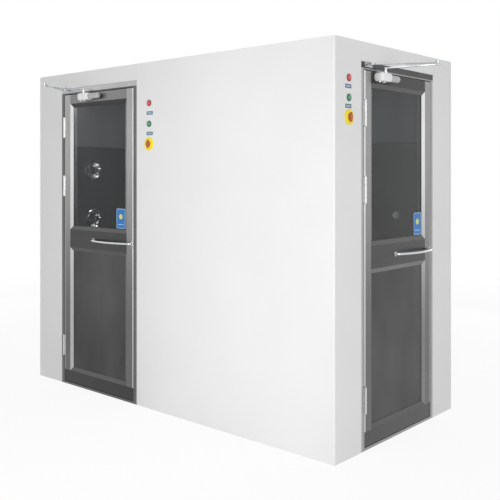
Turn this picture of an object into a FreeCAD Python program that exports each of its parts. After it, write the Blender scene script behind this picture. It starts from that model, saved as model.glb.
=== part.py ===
import FreeCAD, Part
import math
import os
import types

import Sketcher

# Air shower with two doors at a right angle. Millimetres, +Z up.
# The origin is on the floor under the centre of the cabinet: the long front with
# its door faces -Y, the end with the second door faces +X.

dims = {
    # cabinet
    "cabinet_length": 2550,
    "cabinet_depth": 1280,
    "cabinet_height": 2150,
    "left_margin_width": 270,
    "skin": 1.5,
    "corner_radius": 8,
    "panel_return": 30,
    "corner_wrap": 240,
    "seam": 1,
    "fit": 0.3,
    # door openings and their stainless frames
    "opening_width": 790,
    "header_height": 104,
    "frame_face": 32,
    "head_face": 40,
    "frame_deep": 52,
    "sill_height": 15,
    "stop_wide": 14,
    "stop_thick": 6,
    # chamber
    "base_height": 48,
    "floor_plate": 2,
    "base_inset": 32,
    "wall_overlap": 2,
    "inner_return": 20,
    "wall_seam": 3,
    "wall_seam_height": 1649,
    "back_columns": 3,
    "front_columns": 2,
    # door leaf
    "leaf_gap": 3,
    "leaf_thick": 42,
    "leaf_edge_radius": 3,
    "stile_flat": 62,
    "top_rail_flat": 64,
    "bottom_rail_flat": 80,
    "lock_rail_flat": 124,
    "lock_rail_centre": 1011,
    "bevel_wide": 24,
    "bottom_bevel_wide": 26,
    "bevel_deep": 10,
    "groove_deep": 10,
    "glass_thick": 6,
    "panel_thick": 12,
    "seal_wide": 10,
    # hinges
    "hinge_out": 6,
    "hinge_height": 136,
    "bottom_hinge_height": 266,
    "middle_hinge_height": 1372,
    "top_hinge_drop": 226,
    "knuckle_radius": 6,
    "hinge_pin_radius": 3,
    "pin_fit": 0.1,
    "hinge_plate": 2.5,
    "hinge_plate_gap": 2,
    "hinge_frame_plate_wide": 14,
    "hinge_door_plate_wide": 14,
    "pin_cap": 3,
    # door closer
    "front_spindle_along": 258,
    "end_spindle_along": 150,
    "spindle_out": 36,
    "spindle_radius": 5,
    "spindle_collar_radius": 8,
    "closer_height": 47,
    "closer_deep": 52,
    "closer_long": 104,
    "closer_drop": 5,
    "closer_edge_radius": 8,
    "barrel_radius": 19,
    "barrel_long": 90,
    "barrel_nose_long": 5,
    "valve_radius": 7,
    "valve_long": 7,
    "valve_inset": 9,
    "arm_thick": 6,
    "arm_wide": 16,
    "arm_lift": 17,
    "arm_layer_gap": 3,
    "elbow_along": 206,
    "elbow_out": 310,
    "arm_hub_radius": 13,
    "arm_eye_radius": 12,
    "rod_radius": 2.6,
    "tube_radius": 4.5,
    "tube_inset": 12,
    "elbow_head_radius": 10,
    "elbow_head_height": 10,
    "shoe_along": 35,
    "shoe_out": 26,
    "shoe_wide": 76,
    "shoe_plate": 3,
    "shoe_pin_radius": 4,
    # pull handle
    "handle_from_latch": 243,
    "handle_span": 390,
    "handle_bow": 42,
    "handle_post": 16,
    "handle_bar_radius": 6.5,
    "handle_post_radius": 8,
    "handle_rose_radius": 13,
    "handle_rose_thick": 4,
    # magnetic lock
    "magnet_long": 180,
    "magnet_high": 38,
    "magnet_deep": 27,
    "magnet_from_latch": 60,
    # lamps and rotary switches beside the doors
    "control_offset": 116,
    "front_red_drop": 255,
    "front_green_drop": 384,
    "front_switch_drop": 509,
    "end_red_drop": 201,
    "end_green_drop": 303,
    "end_switch_drop": 403,
    "lamp_ring_radius": 20,
    "lamp_ring_thick": 4,
    "lamp_lens_radius": 14.5,
    "lamp_lens_out": 9,
    "lamp_tail_radius": 11,
    "lamp_tail_long": 40,
    "switch_disc_radius": 40,
    "switch_disc_thick": 6,
    "switch_hub_radius": 24,
    "switch_hub_out": 2,
    "switch_tail": 46,
    "knob_long": 52,
    "knob_wide": 20,
    "knob_out": 13,
    "knob_disc_radius": 21,
    "knob_disc_thick": 4,
    "knob_axle_radius": 4,
    "knob_axle_deep": 5,
    # air nozzles
    "nozzle_rows": 3,
    "nozzle_columns": 2,
    "nozzle_first_height": 764,
    "nozzle_row_pitch": 357,
    "nozzle_first_from_front": 276,
    "nozzle_column_pitch": 450,
    "nozzle_flange_radius": 77,
    "nozzle_flange_thick": 8,
    "nozzle_socket_radius": 68,
    "nozzle_socket_deep": 24,
    "nozzle_ball_radius": 62,
    "nozzle_front": 22,
    "nozzle_back": 44,
    "nozzle_mouth_radius": 54,
    "nozzle_waist_radius": 32,
    "nozzle_waist_deep": 12,
    "nozzle_throat_radius": 22,
    "nozzle_mouth_lip": 7,
    "nozzle_lip_deep": 8,
    "nozzle_flange_bevel": 3,
    # air system in the left box
    "grille_centre_from_front": 500,
    "grille_wide": 420,
    "grille_low": 110,
    "grille_high": 410,
    "grille_rim": 14,
    "slat_deep": 8,
    "grille_slats": 11,
    "slat_thick": 3,
    "prefilter_thick": 22,
    "prefilter_rim": 12,
    "blower_radius": 150,
    "blower_width": 118,
    "blower_sheet": 2,
    "blower_outlet": 130,
    "blower_outlet_top": 560,
    "blower_stand": 26,
    "inlet_radius": 92,
    "impeller_radius": 125,
    "impeller_width": 72,
    "impeller_clearance": 6,
    "impeller_ring": 24,
    "impeller_sheet": 2,
    "blade_count": 24,
    "blade_thick": 1.6,
    "hub_radius": 14,
    "motor_radius": 52,
    "motor_long": 30,
    "shaft_radius": 6,
    "filter_wide": 620,
    "filter_low": 640,
    "filter_high": 1620,
    "filter_thick": 80,
    "filter_rim": 18,
    "filter_pleats": 20,
    "filter_fold_deep": 32,
    "filter_fold_wall": 6,
    "rail_leg": 30,
    "rail_thick": 2,
    # ceiling lamp, sensor and control box
    "lamp_long": 620,
    "lamp_wide": 320,
    "lamp_deep": 55,
    "diffuser_thick": 4,
    "sensor_radius": 22,
    "sensor_out": 18,
    "sensor_height": 1200,
    "sensor_from_door": 240,
    "box_wide": 300,
    "box_high": 620,
    "box_deep": 110,
    "box_low": 1240,
    "box_from_wall": 3,
}


class Size:
    # A length that keeps its spreadsheet expression beside its value.
    def __init__(self, text, value):
        self.text = text
        self.value = value

    def __add__(self, other):
        other = as_size(other)
        return Size(f"({self.text} + {other.text})", self.value + other.value)

    def __sub__(self, other):
        other = as_size(other)
        return Size(f"({self.text} - {other.text})", self.value - other.value)

    def __mul__(self, other):
        other = as_size(other)
        return Size(f"({self.text} * {other.text})", self.value * other.value)

    def __truediv__(self, other):
        other = as_size(other)
        return Size(f"({self.text} / {other.text})", self.value / other.value)

    def __neg__(self):
        return Size(f"(0 - {self.text})", -self.value)

    def __radd__(self, other):
        return as_size(other) + self

    def __rsub__(self, other):
        return as_size(other) - self

    def __rmul__(self, other):
        return as_size(other) * self


def as_size(number):
    if isinstance(number, Size):
        return number
    return Size(repr(number), number)


def root_of(size):
    return Size(f"sqrt({size.text})", math.sqrt(size.value))


def angle_of(run, rise):
    return Size(f"(atan2({rise.text}; {run.text}) / 1 deg)",
                math.degrees(math.atan2(rise.value, run.value)))


def half_arc_angle(half_chord, radius):
    ratio = half_chord / radius
    return Size(f"(asin({ratio.text}) / 1 deg)", math.degrees(math.asin(ratio.value)))


doc = FreeCAD.newDocument("AirShower")
sheet = doc.addObject("Spreadsheet::Sheet", "Dims")
for row, (name, number) in enumerate(dims.items(), start=1):
    sheet.set(f"A{row}", name)
    sheet.set(f"B{row}", str(number))
    sheet.setAlias(f"B{row}", name)
doc.recompute()
d = types.SimpleNamespace(**{name: Size(f"Dims.{name}", number) for name, number in dims.items()})

# Places that several pieces share.
half_x = d.cabinet_length / 2
half_y = d.cabinet_depth / 2
opening_height = d.cabinet_height - d.header_height
front_left = -half_x + d.left_margin_width
front_right = front_left + d.opening_width
end_start = -(d.opening_width / 2)
floor_top = d.base_height + d.floor_plate
left_wall = front_left + d.wall_overlap
passage_wall_x = front_right - d.wall_overlap
front_wall = end_start + d.wall_overlap
back_wall = -end_start - d.wall_overlap
ceiling_height = opening_height - d.wall_overlap
shell_top = d.cabinet_height - d.skin
chamber_end = half_x - d.frame_deep - d.fit
passage_front = -half_y + d.frame_deep + d.fit
wall_top = ceiling_height - d.fit

# Leaf heights and widths, in the door's own frame: X from the hinge side of the
# opening to the latch side, Y into the cabinet, Z up from the floor.
leaf_start = d.frame_face + d.leaf_gap
leaf_wide = d.opening_width - 2 * leaf_start
leaf_end = leaf_start + leaf_wide
leaf_bottom = d.sill_height + d.leaf_gap
leaf_top = opening_height - d.head_face - d.leaf_gap
pane_start = leaf_start + d.stile_flat + d.bevel_wide
pane_wide = leaf_wide - 2 * (d.stile_flat + d.bevel_wide)
glass_low = d.lock_rail_centre + d.lock_rail_flat / 2 + d.bevel_wide
glass_high = leaf_top - d.top_rail_flat - d.bevel_wide
panel_low = leaf_bottom + d.bottom_rail_flat + d.bottom_bevel_wide
panel_high = d.lock_rail_centre - d.lock_rail_flat / 2 - d.bevel_wide
hinge_along = d.frame_face + d.leaf_gap / 2
handle_middle = d.opening_width - d.handle_from_latch
stop_face = d.frame_deep - d.stop_thick

control_drops = {
    "front": (d.front_red_drop, d.front_green_drop, d.front_switch_drop),
    "end": (d.end_red_drop, d.end_green_drop, d.end_switch_drop),
}
control_heights = {side: [d.cabinet_height - drop for drop in drops]
                   for side, drops in control_drops.items()}

nodes = []


# Building blocks


def bind(obj, **properties):
    for name, size in properties.items():
        size = as_size(size)
        setattr(obj, name, size.value)
        obj.setExpression(name, size.text)


def move_to(obj, at, rotation=FreeCAD.Rotation()):
    at = [as_size(part) for part in at]
    obj.Placement = FreeCAD.Placement(FreeCAD.Vector(*[part.value for part in at]), rotation)
    for axis, part in zip("xyz", at):
        obj.setExpression(f"Placement.Base.{axis}", part.text)


def box(name, low, high):
    obj = doc.addObject("Part::Box", name)
    bind(obj, Length=high[0] - low[0], Width=high[1] - low[1], Height=high[2] - low[2])
    move_to(obj, low)
    return obj


axis_turns = {
    "z": FreeCAD.Rotation(),
    "x": FreeCAD.Rotation(FreeCAD.Vector(0, 1, 0), 90),
    "-x": FreeCAD.Rotation(FreeCAD.Vector(0, 1, 0), -90),
    "y": FreeCAD.Rotation(FreeCAD.Vector(1, 0, 0), -90),
    "-y": FreeCAD.Rotation(FreeCAD.Vector(1, 0, 0), 90),
}


def cylinder(name, at, axis, radius, length):
    obj = doc.addObject("Part::Cylinder", name)
    bind(obj, Radius=radius, Height=length)
    move_to(obj, at, axis_turns[axis])
    return obj


def cone(name, at, axis, start_radius, end_radius, length):
    obj = doc.addObject("Part::Cone", name)
    bind(obj, Radius1=start_radius, Radius2=end_radius, Height=length)
    move_to(obj, at, axis_turns[axis])
    return obj


def frustum_along_y(name, near, far, y_near, y_far):
    # near and far are rectangles (x low, x high, z low, z high)
    obj = doc.addObject("Part::Wedge", name)
    bind(obj, Xmin=near[0], Xmax=near[1], Zmin=near[2], Zmax=near[3])
    bind(obj, X2min=far[0], X2max=far[1], Z2min=far[2], Z2max=far[3])
    bind(obj, Ymin=y_near, Ymax=y_far)
    return obj


def fuse(name, *parts):
    obj = doc.addObject("Part::MultiFuse", name)
    obj.Shapes = list(parts)
    obj.Refine = True
    return obj


def cut(name, base, *tools):
    tool = tools[0] if len(tools) == 1 else fuse(f"{name}_tools", *tools)
    obj = doc.addObject("Part::Cut", name)
    obj.Base = base
    obj.Tool = tool
    obj.Refine = True
    return obj


def group(name, *parts):
    obj = doc.addObject("Part::Compound", name)
    obj.Links = list(parts)
    return obj


def round_edges(name, base, radius, wanted):
    # wanted is a test on an edge; the radius is the same on all of them
    doc.recompute()
    chosen = [i for i, edge in enumerate(base.Shape.Edges, start=1) if wanted(edge)]
    obj = doc.addObject("Part::Fillet", name)
    obj.Base = base
    obj.Edges = [(i, radius.value, radius.value) for i in chosen]
    return obj


def runs_along(edge, axis):
    if not isinstance(edge.Curve, Part.Line):
        return False
    return abs(abs(edge.Curve.Direction.dot(axis)) - 1) < 1e-6


def node(obj, name):
    obj.Label = name
    nodes.append(obj)
    return obj


def pan(name, low, high, open_side):
    # A folded tray: a box whose one side is open, named by its axis and sign.
    outer = box(f"{name}_outer", low, high)
    inner_low = [part + d.skin for part in low]
    inner_high = [part - d.skin for part in high]
    index = "xyz".index(open_side[1])
    if open_side[0] == "+":
        inner_high[index] = high[index] + d.skin
    else:
        inner_low[index] = low[index] - d.skin
    return cut(name, outer, box(f"{name}_hollow", inner_low, inner_high))


def new_body(name):
    return doc.addObject("PartDesign::Body", name)


def plane_of(body, role):
    return next(item for item in body.Origin.OriginFeatures if item.Role == role)


def outline(body, name, role, points):
    # A closed outline whose every corner is set by its two coordinates.
    sketch = body.newObject("Sketcher::SketchObject", name)
    sketch.AttachmentSupport = (plane_of(body, role), [""])
    sketch.MapMode = "FlatFace"
    points = [(as_size(x), as_size(y)) for x, y in points]
    vectors = [FreeCAD.Vector(x.value, y.value, 0) for x, y in points]
    count = len(points)
    for i in range(count):
        sketch.addGeometry(Part.LineSegment(vectors[i], vectors[(i + 1) % count]), False)
    for i in range(count):
        sketch.addConstraint(Sketcher.Constraint("Coincident", i, 2, (i + 1) % count, 1))
    for i, (x, y) in enumerate(points):
        for kind, size in (("DistanceX", x), ("DistanceY", y)):
            index = sketch.addConstraint(Sketcher.Constraint(kind, -1, 1, i, 1, size.value))
            sketch.setExpression(f"Constraints[{index}]", size.text)
    return sketch


def outline_circles(body, name, role, circles, lift=0):
    # circles are pairs of a centre and a radius
    sketch = body.newObject("Sketcher::SketchObject", name)
    sketch.AttachmentSupport = (plane_of(body, role), [""])
    sketch.MapMode = "FlatFace"
    lift = as_size(lift)
    sketch.AttachmentOffset = FreeCAD.Placement(FreeCAD.Vector(0, 0, lift.value), FreeCAD.Rotation())
    sketch.setExpression("AttachmentOffset.Base.z", lift.text)
    for i, (centre, radius) in enumerate(circles):
        x, y, radius = as_size(centre[0]), as_size(centre[1]), as_size(radius)
        middle = FreeCAD.Vector(x.value, y.value, 0)
        sketch.addGeometry(Part.Circle(middle, FreeCAD.Vector(0, 0, 1), radius.value), False)
        index = sketch.addConstraint(Sketcher.Constraint("Radius", i, radius.value))
        sketch.setExpression(f"Constraints[{index}]", radius.text)
        if x.text == "0" and y.text == "0":
            sketch.addConstraint(Sketcher.Constraint("Coincident", i, 3, -1, 1))
            continue
        for kind, size in (("DistanceX", x), ("DistanceY", y)):
            index = sketch.addConstraint(Sketcher.Constraint(kind, -1, 1, i, 3, size.value))
            sketch.setExpression(f"Constraints[{index}]", size.text)
    return sketch


def pad(body, name, sketch, length, reverse=False):
    obj = body.newObject("PartDesign::Pad", name)
    obj.Profile = sketch
    obj.Reversed = reverse
    bind(obj, Length=length)
    return obj


headings = {"east": (1, 0), "north": (0, 1), "west": (-1, 0), "south": (0, -1)}


def folded_outline(start, moves):
    # The section of a bent sheet, which lies to the right of the path of its outer face.
    path = [start]
    for way, length in moves:
        step = headings[way]
        x, y = path[-1]
        path.append((x + length if step[0] > 0 else x - length if step[0] < 0 else x,
                     y + length if step[1] > 0 else y - length if step[1] < 0 else y))
    inner = []
    for i, (x, y) in enumerate(path):
        for way, _ in moves[max(i - 1, 0):i + 1]:
            right_x, right_y = headings[way][1], -headings[way][0]
            x = x + d.skin if right_x > 0 else x - d.skin if right_x < 0 else x
            y = y + d.skin if right_y > 0 else y - d.skin if right_y < 0 else y
        inner.append((x, y))
    return path + inner[::-1]


def folded_wall(name, start, moves, corner=None):
    # An outer wall sheet of full height, with one rounded corner of the cabinet.
    body = new_body(f"{name}_body")
    sketch = outline(body, f"{name}_section", "XY_Plane", folded_outline(start, moves))
    pad(body, f"{name}_sheet", sketch, shell_top)
    if corner:
        doc.recompute()
        corner = [as_size(part).value for part in corner]
        for tag, radius, reach in (("out", d.corner_radius, 0), ("in", d.corner_radius - d.skin, 1)):
            base = body.Tip
            spot = FreeCAD.Vector(corner[0] - math.copysign(reach * d.skin.value, corner[0]),
                                  corner[1] - math.copysign(reach * d.skin.value, corner[1]), 0)
            names = [f"Edge{i}" for i, edge in enumerate(base.Shape.Edges, start=1)
                     if runs_along(edge, FreeCAD.Vector(0, 0, 1))
                     and math.hypot(edge.Vertexes[0].X - spot.x, edge.Vertexes[0].Y - spot.y) < 0.01]
            bend = body.newObject("PartDesign::Fillet", f"{name}_bend_{tag}")
            bend.Base = (base, names)
            bind(bend, Radius=radius)
            doc.recompute()
    return node(body, name)


# Outer shell


def build_shell():
    wrap_gap = d.corner_wrap + d.seam
    main = folded_wall("front_main_panel", (half_x - d.panel_return, end_start),
                       [("east", d.panel_return), ("south", half_y + end_start),
                        ("west", half_x - front_right), ("north", d.panel_return)],
                       (half_x, -half_y))
    bore_main_panel(main)
    folded_wall("front_left_panel", (front_left, -half_y + d.panel_return),
                [("south", d.panel_return), ("west", d.left_margin_width),
                 ("north", d.corner_wrap), ("east", d.panel_return)],
                (-half_x, -half_y))
    folded_wall("left_end_panel", (-half_x + d.panel_return, -half_y + wrap_gap),
                [("west", d.panel_return), ("north", d.cabinet_depth - 2 * wrap_gap),
                 ("east", d.panel_return)])
    folded_wall("back_left_panel", (-half_x + d.panel_return, half_y - d.corner_wrap),
                [("west", d.panel_return), ("north", d.corner_wrap),
                 ("east", half_x - d.seam / 2), ("south", d.panel_return)],
                (-half_x, half_y))
    folded_wall("back_right_panel", (d.seam / 2, half_y - d.panel_return),
                [("north", d.panel_return), ("east", half_x - d.seam / 2),
                 ("south", half_y + end_start), ("west", d.panel_return)],
                (half_x, half_y))
    upright = FreeCAD.Vector(0, 0, 1)
    plate = round_edges("roof_plate", box("roof_block", (-half_x, -half_y, shell_top),
                                          (half_x, half_y, d.cabinet_height)),
                        d.corner_radius, lambda edge: runs_along(edge, upright))
    inset = d.panel_return + d.seam
    low = (-half_x + inset, -half_y + inset, shell_top - d.panel_return)
    high = (half_x - inset, half_y - inset, shell_top + d.skin / 2)
    skirt = box("roof_skirt_block", low, high)
    hollow = box("roof_skirt_hollow", [part + d.skin for part in low[:2]] + [low[2] - 1],
                 [part - d.skin for part in high[:2]] + [high[2] + 1])
    node(fuse("roof", plate, cut("roof_skirt", skirt, hollow)), "roof_panel")
    base_low = (-half_x + d.base_inset, passage_front + d.seam, as_size(0))
    base_high = (chamber_end - d.seam, half_y - d.base_inset, d.base_height)
    node(pan("base_frame", base_low, base_high, "-z"), "base_tray")


def bore_main_panel(body):
    # Round holes for the tails of the lamps and switches, in the front and the end sheet.
    radius = d.lamp_tail_radius + d.fit
    for side, role, across in (("front", "XZ_Plane", front_right + d.control_offset),
                               ("end", "YZ_Plane", end_start - d.control_offset)):
        centres = [(across, height) for height in control_heights[side]]
        sketch = outline_circles(body, f"{side}_control_holes", role,
                                 [(spot, radius) for spot in centres])
        holes = body.newObject("PartDesign::Pocket", f"{side}_control_pocket")
        holes.Profile = sketch
        holes.Type = "ThroughAll"
        holes.Reversed = True


def build_headers():
    for side in ("front", "end"):
        low = (d.seam, as_size(0), opening_height + d.seam)
        high = (d.opening_width - d.seam, d.panel_return, shell_top)
        header = pan(f"{side}_header", low, high, "+y")
        place_at_door(header, side)
        node(header, f"{side}_header_panel")


def place_at_door(obj, side, at=(0, 0, 0), turn=None):
    # Puts a piece that was made in the door's own frame at one of the two doors.
    at = [as_size(part) for part in at]
    turn = as_size(turn or 0)
    if side == "front":
        spot = (front_left + at[0], -half_y + at[1], at[2])
        angle = turn
    else:
        spot = (half_x - at[1], end_start + at[0], at[2])
        angle = turn + 90
    move_to(obj, spot, FreeCAD.Rotation(FreeCAD.Vector(0, 0, 1), angle.value))
    obj.setExpression("Placement.Rotation.Angle", angle.text)


# Chamber lining


def nozzle_spots():
    for row in range(dims["nozzle_rows"]):
        for column in range(dims["nozzle_columns"]):
            yield (-half_y + d.nozzle_first_from_front + column * d.nozzle_column_pitch,
                   d.nozzle_first_height + row * d.nozzle_row_pitch)


def wall_pans(name, axis, face, ends, columns, open_side):
    # A lined wall: columns of pans, each in a lower and an upper sheet.
    low_edge, high_edge = ends
    pitch = (high_edge - low_edge) / columns
    inward = face - d.inner_return if open_side[0] == "-" else face
    outward = face if open_side[0] == "-" else face + d.inner_return
    heights = ((floor_top, d.wall_seam_height - d.wall_seam / 2),
               (d.wall_seam_height + d.wall_seam / 2, wall_top))
    sheets = []
    for column in range(columns):
        start = low_edge + column * pitch
        stop = start + pitch - (d.seam if column < columns - 1 else 0)
        for level, (bottom, top) in enumerate(heights):
            if axis == "x":
                low, high = (inward, start, bottom), (outward, stop, top)
            else:
                low, high = (start, inward, bottom), (stop, outward, top)
            sheets.append(pan(f"{name}_{column}_{level}", low, high, open_side))
    return sheets


def build_lining():
    lower, upper = wall_pans("left_wall", "x", left_wall, (passage_front, back_wall), 1, "-x")
    holes = [cylinder(f"nozzle_hole_{i}", (left_wall - d.inner_return, y, z), "x",
                      d.nozzle_socket_radius + d.fit, 2 * d.inner_return)
             for i, (y, z) in enumerate(nozzle_spots())]
    grille_y = -half_y + d.grille_centre_from_front
    holes.append(box("grille_hole",
                     (left_wall - d.inner_return, grille_y - d.grille_wide / 2, d.grille_low),
                     (left_wall + d.inner_return, grille_y + d.grille_wide / 2, d.grille_high)))
    node(group("left_wall_group", cut("left_wall_lower", lower, *holes),
               cut("left_wall_upper", upper, *holes)), "inner_left_wall")
    node(group("back_wall_group", *wall_pans("back_wall", "y", back_wall, (left_wall, chamber_end),
                                             dims["back_columns"], "+y")), "inner_back_wall")
    front_start = passage_wall_x + d.inner_return + d.fit
    node(group("front_wall_group", *wall_pans("front_wall", "y", front_wall,
                                              (front_start, chamber_end),
                                              dims["front_columns"], "-y")), "inner_front_wall")
    node(group("passage_group", *wall_pans("passage", "x", passage_wall_x,
                                           (passage_front, front_wall), 1, "+x")),
         "passage_wall")
    build_ceiling()
    outer = d.inner_return
    body = new_body("floor_body")
    sketch = outline(body, "floor_outline", "XY_Plane", [
        (left_wall - outer, passage_front + d.seam), (passage_wall_x + outer, passage_front + d.seam),
        (passage_wall_x + outer, front_wall - outer), (chamber_end - d.seam, front_wall - outer),
        (chamber_end - d.seam, back_wall + outer), (left_wall - outer, back_wall + outer)])
    pad(body, "floor_sheet", sketch, d.floor_plate)
    move_to(body, (0, 0, d.base_height))
    node(body, "chamber_floor")


def build_ceiling():
    outer = d.inner_return
    high = ceiling_height + d.inner_return
    main = pan("ceiling_main", (left_wall - outer, front_wall - outer, ceiling_height),
               (chamber_end, back_wall + outer, high), "+z")
    passage = pan("ceiling_passage", (left_wall - outer, passage_front, ceiling_height),
                  (passage_wall_x + outer, front_wall - outer - d.seam, high), "+z")
    hole = box("lamp_hole", (-(d.lamp_long / 2) - d.fit, -(d.lamp_wide / 2) - d.fit,
                             ceiling_height - outer),
               (d.lamp_long / 2 + d.fit, d.lamp_wide / 2 + d.fit, high))
    node(group("ceiling_group", cut("ceiling_cut", main, hole), passage), "inner_ceiling")
    rim = d.inner_return
    tray = pan("lamp_tray", (-(d.lamp_long / 2), -(d.lamp_wide / 2), ceiling_height),
               (d.lamp_long / 2, d.lamp_wide / 2, ceiling_height + d.lamp_deep), "-z")
    flange = box("lamp_flange_block",
                 (-(d.lamp_long / 2) - rim, -(d.lamp_wide / 2) - rim, ceiling_height - d.skin),
                 (d.lamp_long / 2 + rim, d.lamp_wide / 2 + rim, ceiling_height))
    inside = d.diffuser_thick * 2
    throat = box("lamp_flange_hole",
                 (-(d.lamp_long / 2) + inside, -(d.lamp_wide / 2) + inside, ceiling_height - rim),
                 (d.lamp_long / 2 - inside, d.lamp_wide / 2 - inside, ceiling_height + rim))
    node(fuse("lamp_shell", tray, cut("lamp_flange", flange, throat)), "lamp_housing")
    edge = d.skin + d.fit
    node(box("diffuser", (-(d.lamp_long / 2) + edge, -(d.lamp_wide / 2) + edge, ceiling_height),
             (d.lamp_long / 2 - edge, d.lamp_wide / 2 - edge, ceiling_height + d.diffuser_thick)),
         "lamp_diffuser")


# Door frames, seals and locks


def ring_along_y(name, outer, inner, y_near, y_far):
    # outer and inner are rectangles (x low, x high, z low, z high)
    block = box(f"{name}_block", (outer[0], y_near, outer[2]), (outer[1], y_far, outer[3]))
    hole = box(f"{name}_hole", (inner[0], y_near - 1, inner[2]), (inner[1], y_far + 1, inner[3]))
    return cut(name, block, hole)


def build_frame(side):
    wide, high = d.opening_width, opening_height
    clear = (d.frame_face, wide - d.frame_face, d.sill_height, high - d.head_face)
    stop = (clear[0] + d.stop_wide, clear[1] - d.stop_wide, clear[2] + d.stop_wide,
            clear[3] - d.stop_wide)
    block = box(f"{side}_frame_block", (d.fit, as_size(0), as_size(0)),
                (wide - d.fit, d.frame_deep, high - d.fit))
    way = box(f"{side}_frame_way", (clear[0], as_size(-1), clear[2]), (clear[1], stop_face, clear[3]))
    way_in = box(f"{side}_frame_way_in", (stop[0], stop_face - 1, stop[2]),
                 (stop[1], d.frame_deep + 1, stop[3]))
    tube = d.skin + d.fit
    hollows = []
    for tag, start in (("hinge", tube), ("latch", wide - d.frame_face + d.skin)):
        hollows.append(box(f"{side}_frame_{tag}_hollow", (start, d.skin, as_size(-1)),
                           (start + d.frame_face - tube - d.skin, d.frame_deep - d.skin,
                            high - tube)))
    hollows.append(box(f"{side}_frame_head_hollow", (tube, d.skin, high - d.head_face + d.skin),
                       (wide - tube, d.frame_deep - d.skin, high - tube)))
    frame = cut(f"{side}_frame", block, way, way_in, *hollows)
    place_at_door(frame, side)
    node(frame, f"{side}_door_frame")
    inset = d.stop_wide - d.seal_wide
    seal = ring_along_y(f"{side}_seal",
                        (clear[0] + 1, clear[1] - 1, clear[2] + 1, clear[3] - 1),
                        (stop[0] - inset, stop[1] + inset, stop[2] - inset, stop[3] + inset),
                        d.leaf_thick + d.fit, stop_face)
    place_at_door(seal, side)
    magnet_high = stop[3] - d.fit
    latch = d.opening_width - d.magnet_from_latch
    magnet = box(f"{side}_magnet_block",
                 (latch - d.magnet_long, d.leaf_thick + d.fit, magnet_high - d.magnet_high),
                 (latch, d.leaf_thick + d.fit + d.magnet_deep, magnet_high))
    upright = FreeCAD.Vector(0, 0, 1)
    magnet = round_edges(f"{side}_magnet", magnet, d.leaf_edge_radius,
                         lambda edge: runs_along(edge, upright))
    place_at_door(magnet, side)
    return seal, magnet


# Door leaf


def build_leaf(side):
    deep = d.leaf_thick
    block = box(f"{side}_leaf_block", (leaf_start, as_size(0), leaf_bottom),
                (leaf_end, deep, leaf_top))
    front_edge = round_edges(f"{side}_leaf_rounded", block, d.leaf_edge_radius,
                             lambda edge: edge.CenterOfMass.y < 0.01)
    tools = []
    for tag, low, high, low_bevel, thick in (
            ("glass", glass_low, glass_high, d.bevel_wide, d.glass_thick),
            ("panel", panel_low, panel_high, d.bottom_bevel_wide, d.panel_thick)):
        stop = pane_start + pane_wide
        tools.append(box(f"{side}_{tag}_way", (pane_start, d.bevel_deep / 2, low),
                         (stop, deep + 1, high)))
        tools.append(frustum_along_y(
            f"{side}_{tag}_bevel",
            (pane_start - d.bevel_wide, stop + d.bevel_wide, low - low_bevel, high + d.bevel_wide),
            (pane_start, stop, low, high), as_size(0), d.bevel_deep))
        tools.append(box(f"{side}_{tag}_groove",
                         (pane_start - d.groove_deep, d.bevel_deep + d.skin, low - d.groove_deep),
                         (stop + d.groove_deep, d.bevel_deep + d.skin + thick + 2 * d.fit,
                          high + d.groove_deep)))
    inner_wide = d.stile_flat - d.groove_deep / 2
    for tag, start in (("hinge", leaf_start + d.skin), ("latch", leaf_end - inner_wide)):
        tools.append(box(f"{side}_{tag}_stile_hollow", (start, d.skin, leaf_bottom - 1),
                         (start + inner_wide - d.skin, deep - d.skin, leaf_top - d.skin)))
    rails = (("top", leaf_top - d.top_rail_flat + d.skin, leaf_top - d.skin),
             ("lock", d.lock_rail_centre - d.lock_rail_flat / 2 + d.skin,
              d.lock_rail_centre + d.lock_rail_flat / 2 - d.skin),
             ("bottom", leaf_bottom + d.skin, leaf_bottom + d.bottom_rail_flat - d.skin))
    for tag, low, high in rails:
        tools.append(box(f"{side}_{tag}_rail_hollow", (leaf_start + d.skin, d.skin, low),
                         (leaf_end - d.skin, deep - d.skin, high)))
    leaf = cut(f"{side}_leaf", front_edge, *tools)
    place_at_door(leaf, side)
    node(leaf, f"{side}_leaf_frame")
    for tag, low, high, thick, label in (
            ("glass", glass_low, glass_high, d.glass_thick, "window_glass"),
            ("panel", panel_low, panel_high, d.panel_thick, "lower_panel")):
        reach = d.groove_deep - d.fit
        near = d.bevel_deep + d.skin + d.fit
        pane = box(f"{side}_{tag}_pane", (as_size(0), as_size(0), as_size(0)),
                   (pane_wide + 2 * reach, thick, high - low + 2 * reach))
        place_at_door(pane, side, (pane_start - reach, near, low - reach))
        node(pane, f"{side}_{label}")


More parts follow.
